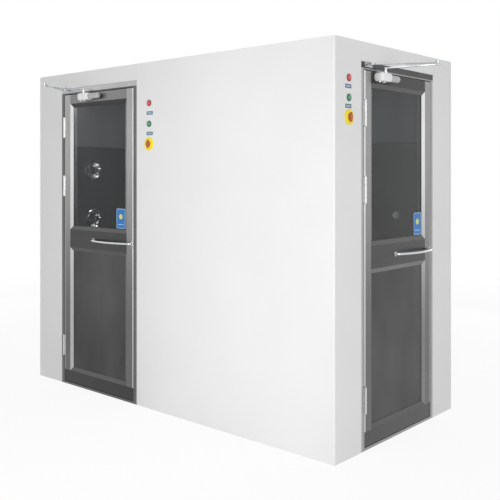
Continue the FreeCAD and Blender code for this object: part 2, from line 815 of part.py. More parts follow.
def build_hinges(side):
    # Each hinge has two knuckles on the frame and one with the pin on the leaf.
    third = d.hinge_height / 3
    frame_leaves = []
    door_leaves = []
    middles = (d.bottom_hinge_height, d.middle_hinge_height, leaf_top - d.top_hinge_drop)
    for i, middle in enumerate(middles):
        tag = f"{side}_hinge_{i}"
        bottom = middle - d.hinge_height / 2
        top = middle + d.hinge_height / 2
        axis = (hinge_along, -d.hinge_out)

        def knuckle(name, low, high, radius=d.knuckle_radius):
            return cylinder(name, (axis[0], axis[1], low), "z", radius, high - low)

        inner_edge = hinge_along - d.hinge_plate_gap
        plate = box(f"{tag}_frame_plate",
                    (inner_edge - d.hinge_frame_plate_wide, -d.hinge_plate, bottom),
                    (inner_edge, as_size(0), top))
        space = knuckle(f"{tag}_frame_space", bottom + third, top - third, d.knuckle_radius + d.fit)
        plate = cut(f"{tag}_frame_plate_cut", plate, space)
        solid = fuse(f"{tag}_frame_solid", plate,
                     knuckle(f"{tag}_knuckle_low", bottom, bottom + third),
                     knuckle(f"{tag}_knuckle_high", top - third, top))
        bore = knuckle(f"{tag}_bore", bottom - 1, top + 1, d.hinge_pin_radius + d.pin_fit)
        frame_leaf = cut(f"{tag}_frame_leaf", solid, bore)
        place_at_door(frame_leaf, side)
        frame_leaves.append(frame_leaf)
        inner_edge = hinge_along + d.hinge_plate_gap
        plate = box(f"{tag}_door_plate", (inner_edge, -d.hinge_plate, bottom),
                    (inner_edge + d.hinge_door_plate_wide, as_size(0), top))
        gap = d.fit
        clear = d.knuckle_radius + d.fit
        plate = cut(f"{tag}_door_plate_cut", plate,
                    knuckle(f"{tag}_door_space_low", bottom - 1, bottom + third + gap, clear),
                    knuckle(f"{tag}_door_space_high", top - third - gap, top + 1, clear))
        door_leaves.append(fuse(
            f"{tag}_door_leaf", plate,
            knuckle(f"{tag}_knuckle_mid", bottom + third + gap, top - third - gap),
            knuckle(f"{tag}_pin", bottom - gap, top + gap, d.hinge_pin_radius),
            knuckle(f"{tag}_cap_low", bottom - gap - d.pin_cap, bottom - gap,
                    d.knuckle_radius - 1),
            knuckle(f"{tag}_cap_high", top + gap, top + gap + d.pin_cap, d.knuckle_radius - 1)))
    leaves = group(f"{side}_door_hinges", *door_leaves)
    place_at_door(leaves, side)
    node(leaves, f"{side}_hinge_leaves")
    return frame_leaves


def build_handle(side):
    # A bowed bar between two posts: the bar is part of a ring whose rise is the bow.
    half_span = d.handle_span / 2
    radius = (half_span * half_span + d.handle_bow * d.handle_bow) / (2 * d.handle_bow)
    half_angle = half_arc_angle(half_span, radius)
    middle_y = -(d.handle_post + d.handle_bow) + radius
    bar = doc.addObject("Part::Torus", f"{side}_handle_bar")
    bind(bar, Radius1=radius, Radius2=d.handle_bar_radius, Angle3=half_angle * 2)
    start = -90 - half_angle
    move_to(bar, (handle_middle, middle_y, d.lock_rail_centre),
            FreeCAD.Rotation(FreeCAD.Vector(0, 0, 1), start.value))
    bar.setExpression("Placement.Rotation.Angle", start.text)
    parts = [bar]
    for tag, along in (("hinge", handle_middle - half_span), ("latch", handle_middle + half_span)):
        reach = d.handle_post + d.handle_bar_radius
        parts.append(cylinder(f"{side}_handle_post_{tag}", (along, 0, d.lock_rail_centre), "-y",
                              d.handle_post_radius, reach))
        parts.append(cylinder(f"{side}_handle_rose_{tag}", (along, 0, d.lock_rail_centre), "-y",
                              d.handle_rose_radius, d.handle_rose_thick))
    handle = fuse(f"{side}_handle", *parts)
    place_at_door(handle, side)
    node(handle, f"{side}_pull_handle")


# Door closer

closer_top = leaf_top - d.closer_drop
arm_low = leaf_top + d.arm_lift
arm_high = arm_low + d.arm_thick
rod_low = arm_high + d.arm_layer_gap
rod_high = rod_low + d.arm_thick
spindle_spots = {"front": (hinge_along + d.front_spindle_along, -d.spindle_out),
                 "end": (hinge_along + d.end_spindle_along, -d.spindle_out)}
elbow_spot = (hinge_along + d.elbow_along, -d.elbow_out)
shoe_spot = (hinge_along + d.shoe_along, -d.shoe_out)


def build_closer(side):
    # The casting and its spring barrel sit on the leaf, the shoe on the frame's head.
    # The main arm turns on the spindle, the forearm on the shoe's pin.
    spindle_spot = spindle_spots[side]
    low = closer_top - d.closer_height
    start = spindle_spot[0] - d.closer_long / 2
    stop = spindle_spot[0] + d.closer_long / 2
    block = box(f"{side}_closer_block", (start, -d.closer_deep, low), (stop, as_size(0), closer_top))
    cast = round_edges(f"{side}_closer_cast", block, d.closer_edge_radius,
                       lambda edge: edge.CenterOfMass.y < -0.1)
    middle_y = -(d.closer_deep / 2)
    middle_z = closer_top - d.closer_height / 2
    parts = [
        cast,
        cylinder(f"{side}_closer_barrel", (stop - 1, middle_y, middle_z), "x", d.barrel_radius,
                 d.barrel_long + 1),
        cone(f"{side}_closer_nose", (stop + d.barrel_long, middle_y, middle_z), "x",
             d.barrel_radius, d.barrel_radius - d.barrel_nose_long / 2, d.barrel_nose_long),
        cylinder(f"{side}_closer_spindle", (spindle_spot[0], spindle_spot[1], closer_top - 1), "z",
                 d.spindle_radius, arm_high - closer_top + 1),
        cylinder(f"{side}_closer_collar", (spindle_spot[0], spindle_spot[1], closer_top - 1), "z",
                 d.spindle_collar_radius, arm_low - d.fit - closer_top + 1),
    ]
    for tag, along in (("latch", spindle_spot[0]), ("sweep", start + d.valve_inset)):
        parts.append(cylinder(f"{side}_valve_{tag}", (along, middle_y, low - d.valve_long), "z",
                              d.valve_radius, d.valve_long + 1))
    body = fuse(f"{side}_closer", *parts)
    place_at_door(body, side)
    node(body, f"{side}_closer_body")

    run = elbow_spot[0] - spindle_spot[0]
    rise = elbow_spot[1] - spindle_spot[1]
    length = root_of(run * run + rise * rise)
    origin = as_size(0)
    arm = fuse(f"{side}_main_bar",
               box(f"{side}_main_flat", (origin, -(d.arm_wide / 2), origin),
                   (length, d.arm_wide / 2, d.arm_thick)),
               cylinder(f"{side}_main_hub", (0, 0, 0), "z", d.arm_hub_radius, d.arm_thick),
               cylinder(f"{side}_main_eye", (length, 0, 0), "z", d.arm_eye_radius, d.arm_thick))
    arm = cut(f"{side}_main", arm,
              cylinder(f"{side}_main_bore", (0, 0, -1), "z", d.spindle_radius + d.pin_fit,
                       d.arm_thick + 2))
    place_at_door(arm, side, (spindle_spot[0], spindle_spot[1], arm_low), angle_of(run, rise))
    node(arm, f"{side}_closer_main_arm")

    run = elbow_spot[0] - shoe_spot[0]
    rise = elbow_spot[1] - shoe_spot[1]
    length = root_of(run * run + rise * rise)
    middle = d.arm_thick / 2
    rod = fuse(f"{side}_rod",
               cylinder(f"{side}_rod_thin", (0, 0, middle), "x", d.rod_radius, length),
               cylinder(f"{side}_rod_tube", (length / 2, 0, middle), "x", d.tube_radius,
                        length / 2 - d.tube_inset),
               cylinder(f"{side}_rod_shoe_eye", (0, 0, 0), "z", d.arm_eye_radius, d.arm_thick),
               cylinder(f"{side}_rod_elbow_eye", (length, 0, 0), "z", d.arm_eye_radius, d.arm_thick),
               cylinder(f"{side}_elbow_head", (length, 0, d.arm_thick), "z", d.elbow_head_radius,
                        d.elbow_head_height))
    rod = cut(f"{side}_forearm", rod,
              cylinder(f"{side}_rod_bore", (0, 0, -1), "z", d.shoe_pin_radius + d.pin_fit,
                       d.arm_thick + 2))
    place_at_door(rod, side, (shoe_spot[0], shoe_spot[1], rod_low), angle_of(run, rise))
    node(rod, f"{side}_closer_forearm")

    pad_low = rod_high + d.fit
    pad_high = pad_low + d.shoe_plate
    half = d.shoe_wide / 2
    ear = d.arm_eye_radius
    shoe = fuse(f"{side}_shoe",
                box(f"{side}_shoe_plate", (shoe_spot[0] - half, -d.shoe_plate, arm_low),
                    (shoe_spot[0] + half, as_size(0), opening_height - d.leaf_gap)),
                box(f"{side}_shoe_shelf", (shoe_spot[0] - ear, shoe_spot[1], pad_low),
                    (shoe_spot[0] + ear, as_size(0), pad_high)),
                cylinder(f"{side}_shoe_ear", (shoe_spot[0], shoe_spot[1], pad_low), "z", ear,
                         d.shoe_plate),
                cylinder(f"{side}_shoe_pin", (shoe_spot[0], shoe_spot[1], rod_low - d.fit), "z",
                         d.shoe_pin_radius, pad_high - rod_low + d.fit))
    place_at_door(shoe, side)
    return shoe


# Lamps and rotary switches

control_along = {"front": d.opening_width + d.control_offset, "end": -d.control_offset}


def round_stack(name, spot, steps):
    # Coaxial discs along -Y: each step is (from, to, radius), measured out of the wall.
    discs = [cylinder(f"{name}_{i}", (spot[0], -start, spot[1]), "-y", radius, stop - start)
             for i, (start, stop, radius) in enumerate(steps)]
    return fuse(name, *discs)


def build_controls():
    lamps = {"red": [], "green": []}
    discs = []
    for side in ("front", "end"):
        along = control_along[side]
        red_height, green_height, switch_height = control_heights[side]
        for colour, height in (("red", red_height), ("green", green_height)):
            lamp = round_stack(f"{side}_{colour}", (along, height), (
                (-d.lamp_tail_long, as_size(0.5), d.lamp_tail_radius),
                (as_size(0), d.lamp_ring_thick, d.lamp_ring_radius),
                (as_size(0), d.lamp_lens_out, d.lamp_lens_radius)))
            place_at_door(lamp, side)
            lamps[colour].append(lamp)
        disc = round_stack(f"{side}_switch_solid", (along, switch_height), (
            (-d.switch_tail, as_size(0.5), d.lamp_tail_radius),
            (as_size(0), d.switch_disc_thick, d.switch_disc_radius),
            (as_size(0), d.switch_hub_out + d.switch_disc_thick, d.switch_hub_radius)))
        hub_face = d.switch_hub_out + d.switch_disc_thick
        seat = cylinder(f"{side}_switch_seat",
                        (along, -(hub_face - d.knob_axle_deep - d.fit), switch_height), "-y",
                        d.knob_axle_radius + d.pin_fit, d.knob_axle_deep + 2)
        disc = cut(f"{side}_switch", disc, seat)
        place_at_door(disc, side)
        discs.append(disc)
        start = hub_face + d.fit
        knob_disc = cylinder(f"{side}_knob_disc", (along, -start, switch_height), "-y",
                             d.knob_disc_radius, d.knob_disc_thick)
        grip = box(f"{side}_knob_block",
                   (along - d.knob_wide / 2, -(start + d.knob_out), switch_height - d.knob_long / 2),
                   (along + d.knob_wide / 2, -start, switch_height + d.knob_long / 2))
        grip = round_edges(f"{side}_knob_grip", grip, d.knob_wide / 4,
                           lambda edge, face=-start.value: edge.CenterOfMass.y < face - 0.1)
        axle = cylinder(f"{side}_knob_axle", (along, -(hub_face - d.knob_axle_deep), switch_height),
                        "-y", d.knob_axle_radius, d.knob_axle_deep + 2)
        knob = fuse(f"{side}_knob", knob_disc, grip, axle)
        place_at_door(knob, side)
        node(knob, f"{side}_switch_knob")
    node(group("red_lamp_pair", *lamps["red"]), "red_lamps")
    node(group("green_lamp_pair", *lamps["green"]), "green_lamps")
    node(group("switch_pair", *discs), "switch_plates")


# Air nozzles


def turned(name, arc_radius, points, arc_at):
    # A solid turned about the X axis. The outline's side number arc_at is an arc about the origin.
    body = new_body(name)
    sketch = body.newObject("Sketcher::SketchObject", f"{name}_profile")
    sketch.AttachmentSupport = (plane_of(body, "XY_Plane"), [""])
    sketch.MapMode = "FlatFace"
    points = [(as_size(x), as_size(y)) for x, y in points]
    count = len(points)
    vectors = [FreeCAD.Vector(x.value, y.value, 0) for x, y in points]
    for i in range(count):
        start, stop = vectors[i], vectors[(i + 1) % count]
        if i == arc_at:
            ring = Part.Circle(FreeCAD.Vector(0, 0, 0), FreeCAD.Vector(0, 0, 1), arc_radius.value)
            angles = sorted(math.atan2(spot.y, spot.x) for spot in (start, stop))
            sketch.addGeometry(Part.ArcOfCircle(ring, *angles), False)
        else:
            sketch.addGeometry(Part.LineSegment(start, stop), False)
    # An arc runs anticlockwise, so its ends swap where the outline goes the other way.
    ends = [(1, 2)] * count
    if vectors[arc_at].x <= vectors[(arc_at + 1) % count].x:
        ends[arc_at] = (2, 1)
    for i in range(count):
        after = (i + 1) % count
        sketch.addConstraint(Sketcher.Constraint("Coincident", i, ends[i][1], after, ends[after][0]))
    sketch.addConstraint(Sketcher.Constraint("Coincident", arc_at, 3, -1, 1))
    index = sketch.addConstraint(Sketcher.Constraint("Radius", arc_at, arc_radius.value))
    sketch.setExpression(f"Constraints[{index}]", arc_radius.text)
    for i, (x, y) in enumerate(points):
        sizes = [("DistanceX", x)]
        if i not in (arc_at, (arc_at + 1) % count):
            sizes.append(("DistanceY", y))
        for kind, size in sizes:
            index = sketch.addConstraint(Sketcher.Constraint(kind, -1, 1, i, ends[i][0], size.value))
            sketch.setExpression(f"Constraints[{index}]", size.text)
    turn = body.newObject("PartDesign::Revolution", f"{name}_turn")
    turn.Profile = sketch
    turn.ReferenceAxis = (plane_of(body, "X_Axis"), [""])
    turn.Angle = 360
    return body


def on_sphere(radius, along):
    return root_of(radius * radius - along * along)


def build_nozzles():
    # The ring holds the ball between its two lips, so the ball can only tilt.
    rings = []
    half_socket = d.nozzle_socket_deep / 2
    ball_x = left_wall + d.nozzle_flange_thick - half_socket
    seat_radius = d.nozzle_ball_radius + d.fit
    lip = on_sphere(seat_radius, half_socket)
    under_flange = half_socket - d.nozzle_flange_thick
    ball = d.nozzle_ball_radius
    for i, (y, z) in enumerate(nozzle_spots()):
        name = f"nozzle_{i + 1}"
        ring = turned(f"{name}_ring", seat_radius, [
            (half_socket, lip), (-half_socket, lip), (-half_socket, d.nozzle_socket_radius),
            (under_flange, d.nozzle_socket_radius), (under_flange, d.nozzle_flange_radius),
            (half_socket - d.nozzle_flange_bevel, d.nozzle_flange_radius),
            (half_socket, d.nozzle_flange_radius - d.nozzle_flange_bevel * 2)], 0)
        move_to(ring, (ball_x, y, z))
        rings.append(ring)
        shell = turned(f"{name}_eye", ball, [
            (d.nozzle_front, on_sphere(ball, d.nozzle_front)),
            (-d.nozzle_back, on_sphere(ball, d.nozzle_back)),
            (-d.nozzle_back, d.nozzle_throat_radius + d.skin),
            (-d.nozzle_waist_deep, d.nozzle_throat_radius),
            (-d.nozzle_waist_deep, d.nozzle_waist_radius),
            (d.nozzle_lip_deep, d.nozzle_mouth_radius - d.nozzle_mouth_lip),
            (d.nozzle_front, d.nozzle_mouth_radius)], 0)
        move_to(shell, (ball_x, y, z))
        node(shell, f"{name}_ball")
    node(group("nozzle_ring_set", *rings), "nozzle_rings")


# Air system


def build_air_system():
    middle_y = -half_y + d.grille_centre_from_front
    half_wide = d.grille_wide / 2
    rim_face = left_wall + d.skin
    rim = box("grille_rim_block",
              (left_wall, middle_y - half_wide - d.grille_rim, d.grille_low - d.grille_rim),
              (rim_face, middle_y + half_wide + d.grille_rim, d.grille_high + d.grille_rim))
    edge = d.fit + d.skin * 2
    way = box("grille_way", (left_wall - d.inner_return - 1, middle_y - half_wide + edge,
                             d.grille_low + edge),
              (rim_face + 1, middle_y + half_wide - edge, d.grille_high - edge))
    sleeve = box("grille_sleeve",
                 (left_wall - d.inner_return, middle_y - half_wide + d.fit, d.grille_low + d.fit),
                 (left_wall, middle_y + half_wide - d.fit, d.grille_high - d.fit))
    frame = cut("grille_frame", fuse("grille_solid", rim, sleeve), way)
    pitch = (d.grille_high - d.grille_low) / (d.grille_slats + 1)
    slats = [box(f"grille_slat_{i}",
                 (left_wall - d.slat_deep, middle_y - half_wide + d.fit,
                  d.grille_low + (i + 1) * pitch - d.slat_thick / 2),
                 (left_wall, middle_y + half_wide - d.fit,
                  d.grille_low + (i + 1) * pitch + d.slat_thick / 2))
             for i in range(dims["grille_slats"])]
    node(fuse("grille", frame, *slats), "return_grille")

    filter_face = left_wall - d.inner_return - d.fit
    node(build_prefilter(filter_face, middle_y), "prefilter")

    case_face = filter_face - d.prefilter_thick - d.fit
    case_back = case_face - d.blower_width
    axis_z = d.base_height + d.blower_stand + d.blower_radius
    build_blower(case_face, case_back, middle_y, axis_z)
    build_main_filter(middle_y)


def build_prefilter(face, middle_y):
    low = (face - d.prefilter_thick, middle_y - d.grille_wide / 2, d.grille_low)
    high = (face, middle_y + d.grille_wide / 2, d.grille_high)
    rim = d.prefilter_rim
    block = box("prefilter_block", low, high)
    dish = box("prefilter_dish", (face - d.prefilter_thick / 3, low[1] + rim, low[2] + rim),
               (face + 1, high[1] - rim, high[2] - rim))
    return cut("prefilter_solid", block, dish)


def build_blower(face, back, middle_y, axis_z):
    # A round case with a square outlet that leads up along one side.
    width = face - back
    outlet_start = middle_y + d.blower_radius - d.blower_outlet
    outlet_stop = middle_y + d.blower_radius
    sheet = d.blower_sheet
    outer = fuse("blower_outer",
                 cylinder("blower_round", (back, middle_y, axis_z), "x", d.blower_radius, width),
                 box("blower_outlet_box", (back, outlet_start, axis_z),
                     (face, outlet_stop, d.blower_outlet_top)),
                 box("blower_foot_box", (back, middle_y - d.blower_radius / 2, d.base_height),
                     (face, middle_y + d.blower_radius / 2, axis_z - d.blower_radius / 2)))
    inner = fuse("blower_inner",
                 cylinder("blower_round_in", (back + sheet, middle_y, axis_z), "x",
                          d.blower_radius - sheet, width - 2 * sheet),
                 box("blower_outlet_in", (back + sheet, outlet_start + sheet, axis_z),
                     (face - sheet, outlet_stop - sheet, d.blower_outlet_top + 1)),
                 cylinder("blower_inlet", (face - 2 * sheet, middle_y, axis_z), "x",
                          d.inlet_radius, 3 * sheet))
    node(cut("blower_case", outer, inner), "blower_housing")

    motor_face = back + sheet
    web_back = motor_face + d.motor_long + d.impeller_clearance / 3
    shaft_end = web_back + d.impeller_width / 4 + d.impeller_clearance / 3
    node(fuse("motor_solid",
              cylinder("motor_can", (motor_face, middle_y, axis_z), "x", d.motor_radius, d.motor_long),
              cylinder("motor_shaft", (motor_face + d.motor_long - 1, middle_y, axis_z), "x",
                       d.shaft_radius, shaft_end - motor_face - d.motor_long + 1)),
         "blower_motor")

    # The wheel: a back disc on the shaft, a ring of tilted blades and a rim at the inlet.
    body = new_body("impeller_body")
    bore = d.shaft_radius + d.pin_fit
    inner = d.impeller_radius - d.impeller_ring
    disc = outline_circles(body, "impeller_disc_outline", "XY_Plane",
                           [((0, 0), d.impeller_radius), ((0, 0), bore)])
    pad(body, "impeller_disc", disc, d.impeller_sheet)
    hub = outline_circles(body, "hub_outline", "XY_Plane", [((0, 0), d.hub_radius), ((0, 0), bore)])
    pad(body, "hub_boss", hub, d.impeller_width / 4)
    rim = outline_circles(body, "rim_outline", "XY_Plane",
                          [((0, 0), d.impeller_radius), ((0, 0), inner)],
                          d.impeller_width - d.impeller_sheet)
    blade = outline(body, "blade_outline", "XY_Plane", [
        (inner, as_size(0)), (d.impeller_radius - 1, d.impeller_ring / 2),
        (d.impeller_radius - 1, d.impeller_ring / 2 + d.blade_thick), (inner, d.blade_thick)])
    first = pad(body, "first_blade", blade, d.impeller_width)
    ring = body.newObject("PartDesign::PolarPattern", "blade_ring")
    ring.Originals = [first]
    ring.Axis = (plane_of(body, "Z_Axis"), [""])
    ring.Angle = 360
    ring.Occurrences = dims["blade_count"]
    body.Tip = ring
    pad(body, "inlet_rim", rim, d.impeller_sheet)
    move_to(body, (web_back, middle_y, axis_z), axis_turns["x"])
    node(body, "blower_impeller")


def build_main_filter(middle_y):
    # The filter stands on two angle rails between the blower space and the nozzles.
    low_y = middle_y - d.filter_wide / 2
    high_y = middle_y + d.filter_wide / 2
    back = left_wall - d.nozzle_socket_deep * 3 - d.filter_thick
    front = back + d.filter_thick
    block = box("filter_block", (back, low_y, d.filter_low), (front, high_y, d.filter_high))
    rim = d.filter_rim
    pitch = (d.filter_high - d.filter_low - 2 * rim) / d.filter_pleats
    folds = []
    for i in range(dims["filter_pleats"]):
        bottom = d.filter_low + rim + i * pitch + d.filter_fold_wall / 2
        folds.append(box(f"filter_fold_{i}", (front - d.filter_fold_deep, low_y + rim, bottom),
                         (front + 1, high_y - rim, bottom + pitch - d.filter_fold_wall)))
    node(cut("main_filter", block, *folds), "hepa_filter")
    rails = []
    for tag, edge_y, way in (("front", low_y - d.fit, -1), ("back", high_y + d.fit, 1)):
        leg_low = edge_y if way > 0 else edge_y - d.rail_thick
        web = box(f"rail_{tag}_web", (back - d.rail_thick, leg_low, d.base_height),
                  (front, leg_low + d.rail_thick, wall_top))
        lip_low = edge_y - d.rail_leg if way > 0 else edge_y - d.rail_thick
        lip = box(f"rail_{tag}_lip", (back - d.rail_thick - d.fit, lip_low, d.base_height),
                  (back - d.fit, lip_low + d.rail_leg + d.rail_thick, wall_top))
        rails.append(fuse(f"rail_{tag}", web, lip))
    shelf = box("rail_shelf", (back - d.rail_thick - d.fit, low_y - d.fit - d.rail_thick,
                               d.filter_low - d.fit - d.rail_thick),
                (front, high_y + d.fit + d.rail_thick, d.filter_low - d.fit))
    node(fuse("rails", *rails, shelf), "filter_frame")


def build_inner_items():
    spot_y = back_wall
    sensor = cylinder("sensor_solid", (half_x - d.sensor_from_door, spot_y, d.sensor_height), "-y",
                      d.sensor_radius, d.sensor_out)
    node(sensor, "presence_sensor")
    start = passage_wall_x + d.inner_return + d.box_from_wall
    face = front_wall - d.inner_return
    low = (start, face - d.box_deep, d.box_low)
    high = (start + d.box_wide, face, d.box_low + d.box_high)
    node(box("control_case", low, high), "control_box")


build_shell()
build_headers()
build_lining()
seals = []
magnets = []
frame_hinges = []
shoes = []
for door_side in ("front", "end"):
    seal_ring, lock_magnet = build_frame(door_side)
    seals.append(seal_ring)
    magnets.append(lock_magnet)
    build_leaf(door_side)
    frame_hinges.extend(build_hinges(door_side))
    build_handle(door_side)
    shoes.append(build_closer(door_side))
node(group("seal_pair", *seals), "door_seals")
node(group("magnet_pair", *magnets), "door_magnets")
node(group("frame_hinge_set", *frame_hinges), "hinge_frame_leaves")
node(group("shoe_pair", *shoes), "closer_shoes")
build_controls()
build_nozzles()
build_air_system()
build_inner_items()
doc.recompute()

faults = [f"{obj.Name}: {obj.State}" for obj in doc.Objects
          if "Invalid" in obj.State or "Error" in obj.State]
for obj in nodes:
    shape = obj.Shape
    if shape.isNull() or not shape.isValid() or not shape.Solids:
        faults.append(f"{obj.Label}: no valid solid")
if faults:
    raise RuntimeError("\n".join(faults))

os.makedirs("parts", exist_ok=True)
for obj in nodes:
    obj.Shape.exportStep(f"parts/{obj.Label}.step")
print(len(nodes), "sub-parts written")
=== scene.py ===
import math

import bmesh
import bpy
from mathutils import Matrix, Vector


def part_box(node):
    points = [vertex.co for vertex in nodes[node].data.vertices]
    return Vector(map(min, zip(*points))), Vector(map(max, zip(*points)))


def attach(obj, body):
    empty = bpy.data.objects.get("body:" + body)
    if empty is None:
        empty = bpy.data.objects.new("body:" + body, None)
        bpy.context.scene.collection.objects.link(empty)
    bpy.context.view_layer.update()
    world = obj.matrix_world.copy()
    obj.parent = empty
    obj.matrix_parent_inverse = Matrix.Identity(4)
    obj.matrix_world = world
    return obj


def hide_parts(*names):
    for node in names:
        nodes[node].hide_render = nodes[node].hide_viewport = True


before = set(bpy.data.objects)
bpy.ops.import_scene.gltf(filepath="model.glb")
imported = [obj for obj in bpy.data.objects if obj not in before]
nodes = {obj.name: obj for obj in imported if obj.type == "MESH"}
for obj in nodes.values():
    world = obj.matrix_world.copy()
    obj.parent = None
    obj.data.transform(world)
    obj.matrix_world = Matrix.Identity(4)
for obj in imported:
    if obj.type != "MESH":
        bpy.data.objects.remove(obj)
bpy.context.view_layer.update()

print("frame loaded:", len(nodes), "nodes")

mm = 0.001
sides = ("front", "end")


def shift(x, y, z):
    return Matrix.Translation((x * mm, y * mm, z * mm))


def turn(degrees, axis):
    return Matrix.Rotation(math.radians(degrees), 4, axis)


# Each door has its own frame: x from the hinge side, y into the cabinet, z up.
doorPlace = {"front": shift(-1005, -640, 0), "end": shift(1275, -395, 0) @ turn(90, "Z")}
doorAxis = {"front": 0, "end": 1}  # the cabinet's axis that runs along the door


def srgb(hexColour):
    parts = [int(hexColour[i:i + 2], 16) / 255 for i in (1, 3, 5)]
    return tuple(p / 12.92 if p <= 0.04045 else ((p + 0.055) / 1.055) ** 2.4 for p in parts) + (1,)


def setInputs(node, values):
    for key, value in values.items():
        node.inputs[key].default_value = value


def startMaterial(name, metallic=0.0):
    mat = bpy.data.materials.new(name)
    mat.use_nodes = True
    tree = mat.node_tree
    shader = tree.nodes["Principled BSDF"]
    shader.inputs["Metallic"].default_value = metallic
    return mat, tree, shader


def addNode(tree, kind, **values):
    node = tree.nodes.new(kind)
    for key, value in values.items():
        if key in node.inputs:
            node.inputs[key].default_value = value
        else:
            setattr(node, key, value)
    return node


even = (1, 1, 1)


def stretchedNoise(tree, stretch, scale, detail=3.0, roughness=0.55):
    # noise in the piece's own space, drawn out along the axis with the small factor
    coords = addNode(tree, "ShaderNodeTexCoord")
    mapping = addNode(tree, "ShaderNodeMapping")
    mapping.inputs["Scale"].default_value = stretch
    noise = addNode(tree, "ShaderNodeTexNoise", Scale=scale, Detail=detail, Roughness=roughness)
    tree.links.new(coords.outputs["Object"], mapping.inputs["Vector"])
    tree.links.new(mapping.outputs["Vector"], noise.inputs["Vector"])
    return noise.outputs["Fac"]


def ramp(tree, source, stops):
    # two stops: (position, grey level or colour)
    node = addNode(tree, "ShaderNodeValToRGB")
    for element, (position, value) in zip(node.color_ramp.elements, stops):
        element.position = position
        element.color = value if isinstance(value, tuple) else (value, value, value, 1)
    tree.links.new(source, node.inputs["Fac"])
    return node.outputs["Color"]


def mixColour(tree, factor, first, second, blend="MIX"):
    node = addNode(tree, "ShaderNodeMix", data_type="RGBA", blend_type=blend)
    for value, socket in ((factor, node.inputs[0]), (first, node.inputs[6]), (second, node.inputs[7])):
        if isinstance(value, bpy.types.NodeSocket):
            tree.links.new(value, socket)
        else:
            socket.default_value = value
    return node.outputs[2]


def multiplied(tree, base, pattern, stops):
    # the base times a ramp over the pattern
    return mixColour(tree, 1.0, base, ramp(tree, pattern, stops), "MULTIPLY")


def maths(tree, operation, first, second=0.0):
    node = addNode(tree, "ShaderNodeMath", operation=operation)
    for value, socket in zip((first, second), node.inputs):
        if isinstance(value, bpy.types.NodeSocket):
            tree.links.new(value, socket)
        else:
            socket.default_value = value
    return node.outputs[0]


def between(tree, value, low, high):
    return maths(tree, "MULTIPLY", maths(tree, "GREATER_THAN", value, low),
                 maths(tree, "LESS_THAN", value, high))


def smoothStep(tree, value, start, stop, low=0.0, high=1.0):
    node = addNode(tree, "ShaderNodeMapRange", interpolation_type="SMOOTHSTEP")
    setInputs(node, {"From Min": start, "From Max": stop, "To Min": low, "To Max": high})
    tree.links.new(value, node.inputs["Value"])
    return node.outputs["Result"]


def varyRoughness(tree, shader, pattern, roughness, start=0.3):
    # from the smoother to the duller value as the pattern grows paler
    smooth, dull = roughness
    tree.links.new(ramp(tree, pattern, [(start, smooth), (0.7, dull)]), shader.inputs["Roughness"])


def addBump(tree, shader, height, strength, distance):
    bump = addNode(tree, "ShaderNodeBump", Strength=strength, Distance=distance)
    tree.links.new(height, bump.inputs["Height"])
    tree.links.new(bump.outputs["Normal"], shader.inputs["Normal"])


paint = {
    "colour": "#F1F1F1", "shade": "#ECECEC", "patches": 1.3, "roughness": (0.34, 0.42),
    "peel": 0.05, "peelFine": 420, "peelDepth": 0.0006,
    "coat": 0.05, "coatRoughness": 0.3, "specular": 0.35,
}


def makeWhitePaint():
    mat, tree, shader = startMaterial("whitePowderCoat")
    patches = stretchedNoise(tree, even, paint["patches"], 2.0)
    colour = ramp(tree, patches, [(0.3, srgb(paint["shade"])), (0.7, srgb(paint["colour"]))])
    tree.links.new(colour, shader.inputs["Base Color"])
    varyRoughness(tree, shader, patches, paint["roughness"])
    setInputs(shader, {"Coat Weight": paint["coat"], "Coat Roughness": paint["coatRoughness"],
                       "Specular IOR Level": paint["specular"]})
    peel = stretchedNoise(tree, even, paint["peelFine"], 2.0)
    addBump(tree, shader, peel, paint["peel"], paint["peelDepth"])
    return mat


brushed = {
    "flat": (3.0, 3.0, 260.0), "x": (3.0, 260.0, 260.0),  # the grain's stretch
    "clouds": (0.5, 0.5, 1), "cloudSize": 3.1, "marks": 0.80, "depth": 0.0004,
}


def makeBrushed(name, colour, streak, roughness, grain, coarse=0.35, bump=0.06):
    # brushed sheet: fine lines along the grain, and slow cloudy changes over the whole sheet
    mat, tree, shader = startMaterial(name, 1.0)
    lines = stretchedNoise(tree, brushed[grain], 1.0, 4.0, 0.6)
    clouds = stretchedNoise(tree, brushed["clouds"], brushed["cloudSize"])
    base = ramp(tree, clouds, [(0.25, srgb(streak)), (0.75, srgb(colour))])
    base = multiplied(tree, base, lines, [(0.3, brushed["marks"]), (0.7, 1.0)])
    tree.links.new(base, shader.inputs["Base Color"])
    smooth, dull = roughness
    rough = ramp(tree, lines, [(0.3, smooth), (0.7, dull)])
    rough = multiplied(tree, rough, clouds, [(0.3, 1.0 - coarse), (0.7, 1.0)])
    tree.links.new(rough, shader.inputs["Roughness"])
    addBump(tree, shader, lines, bump, brushed["depth"])
    return mat


def brushMarks(tree, stretch):
    return stretchedNoise(tree, stretch, scale=1.0, detail=3.0, roughness=0.6)


def joinedMarks(tree, fine, crossing):
    # brush marks run upright, and crosswise where the mask is 1
    return mixColour(tree, crossing, brushMarks(tree, (fine, fine, 4)), brushMarks(tree, (4, 4, fine)))


def roundedPatch(tree, along, up, middle, size, corner):
    # 1 inside an upright rectangle with round corners
    squares = []
    for value, centre, whole in zip((along, up), middle, size):
        away = maths(tree, "ABSOLUTE", maths(tree, "SUBTRACT", value, centre))
        beyond = maths(tree, "MAXIMUM", maths(tree, "SUBTRACT", away, whole / 2 - corner), 0.0)
        squares.append(maths(tree, "MULTIPLY", beyond, beyond))
    return maths(tree, "LESS_THAN", maths(tree, "ADD", *squares), corner * corner)


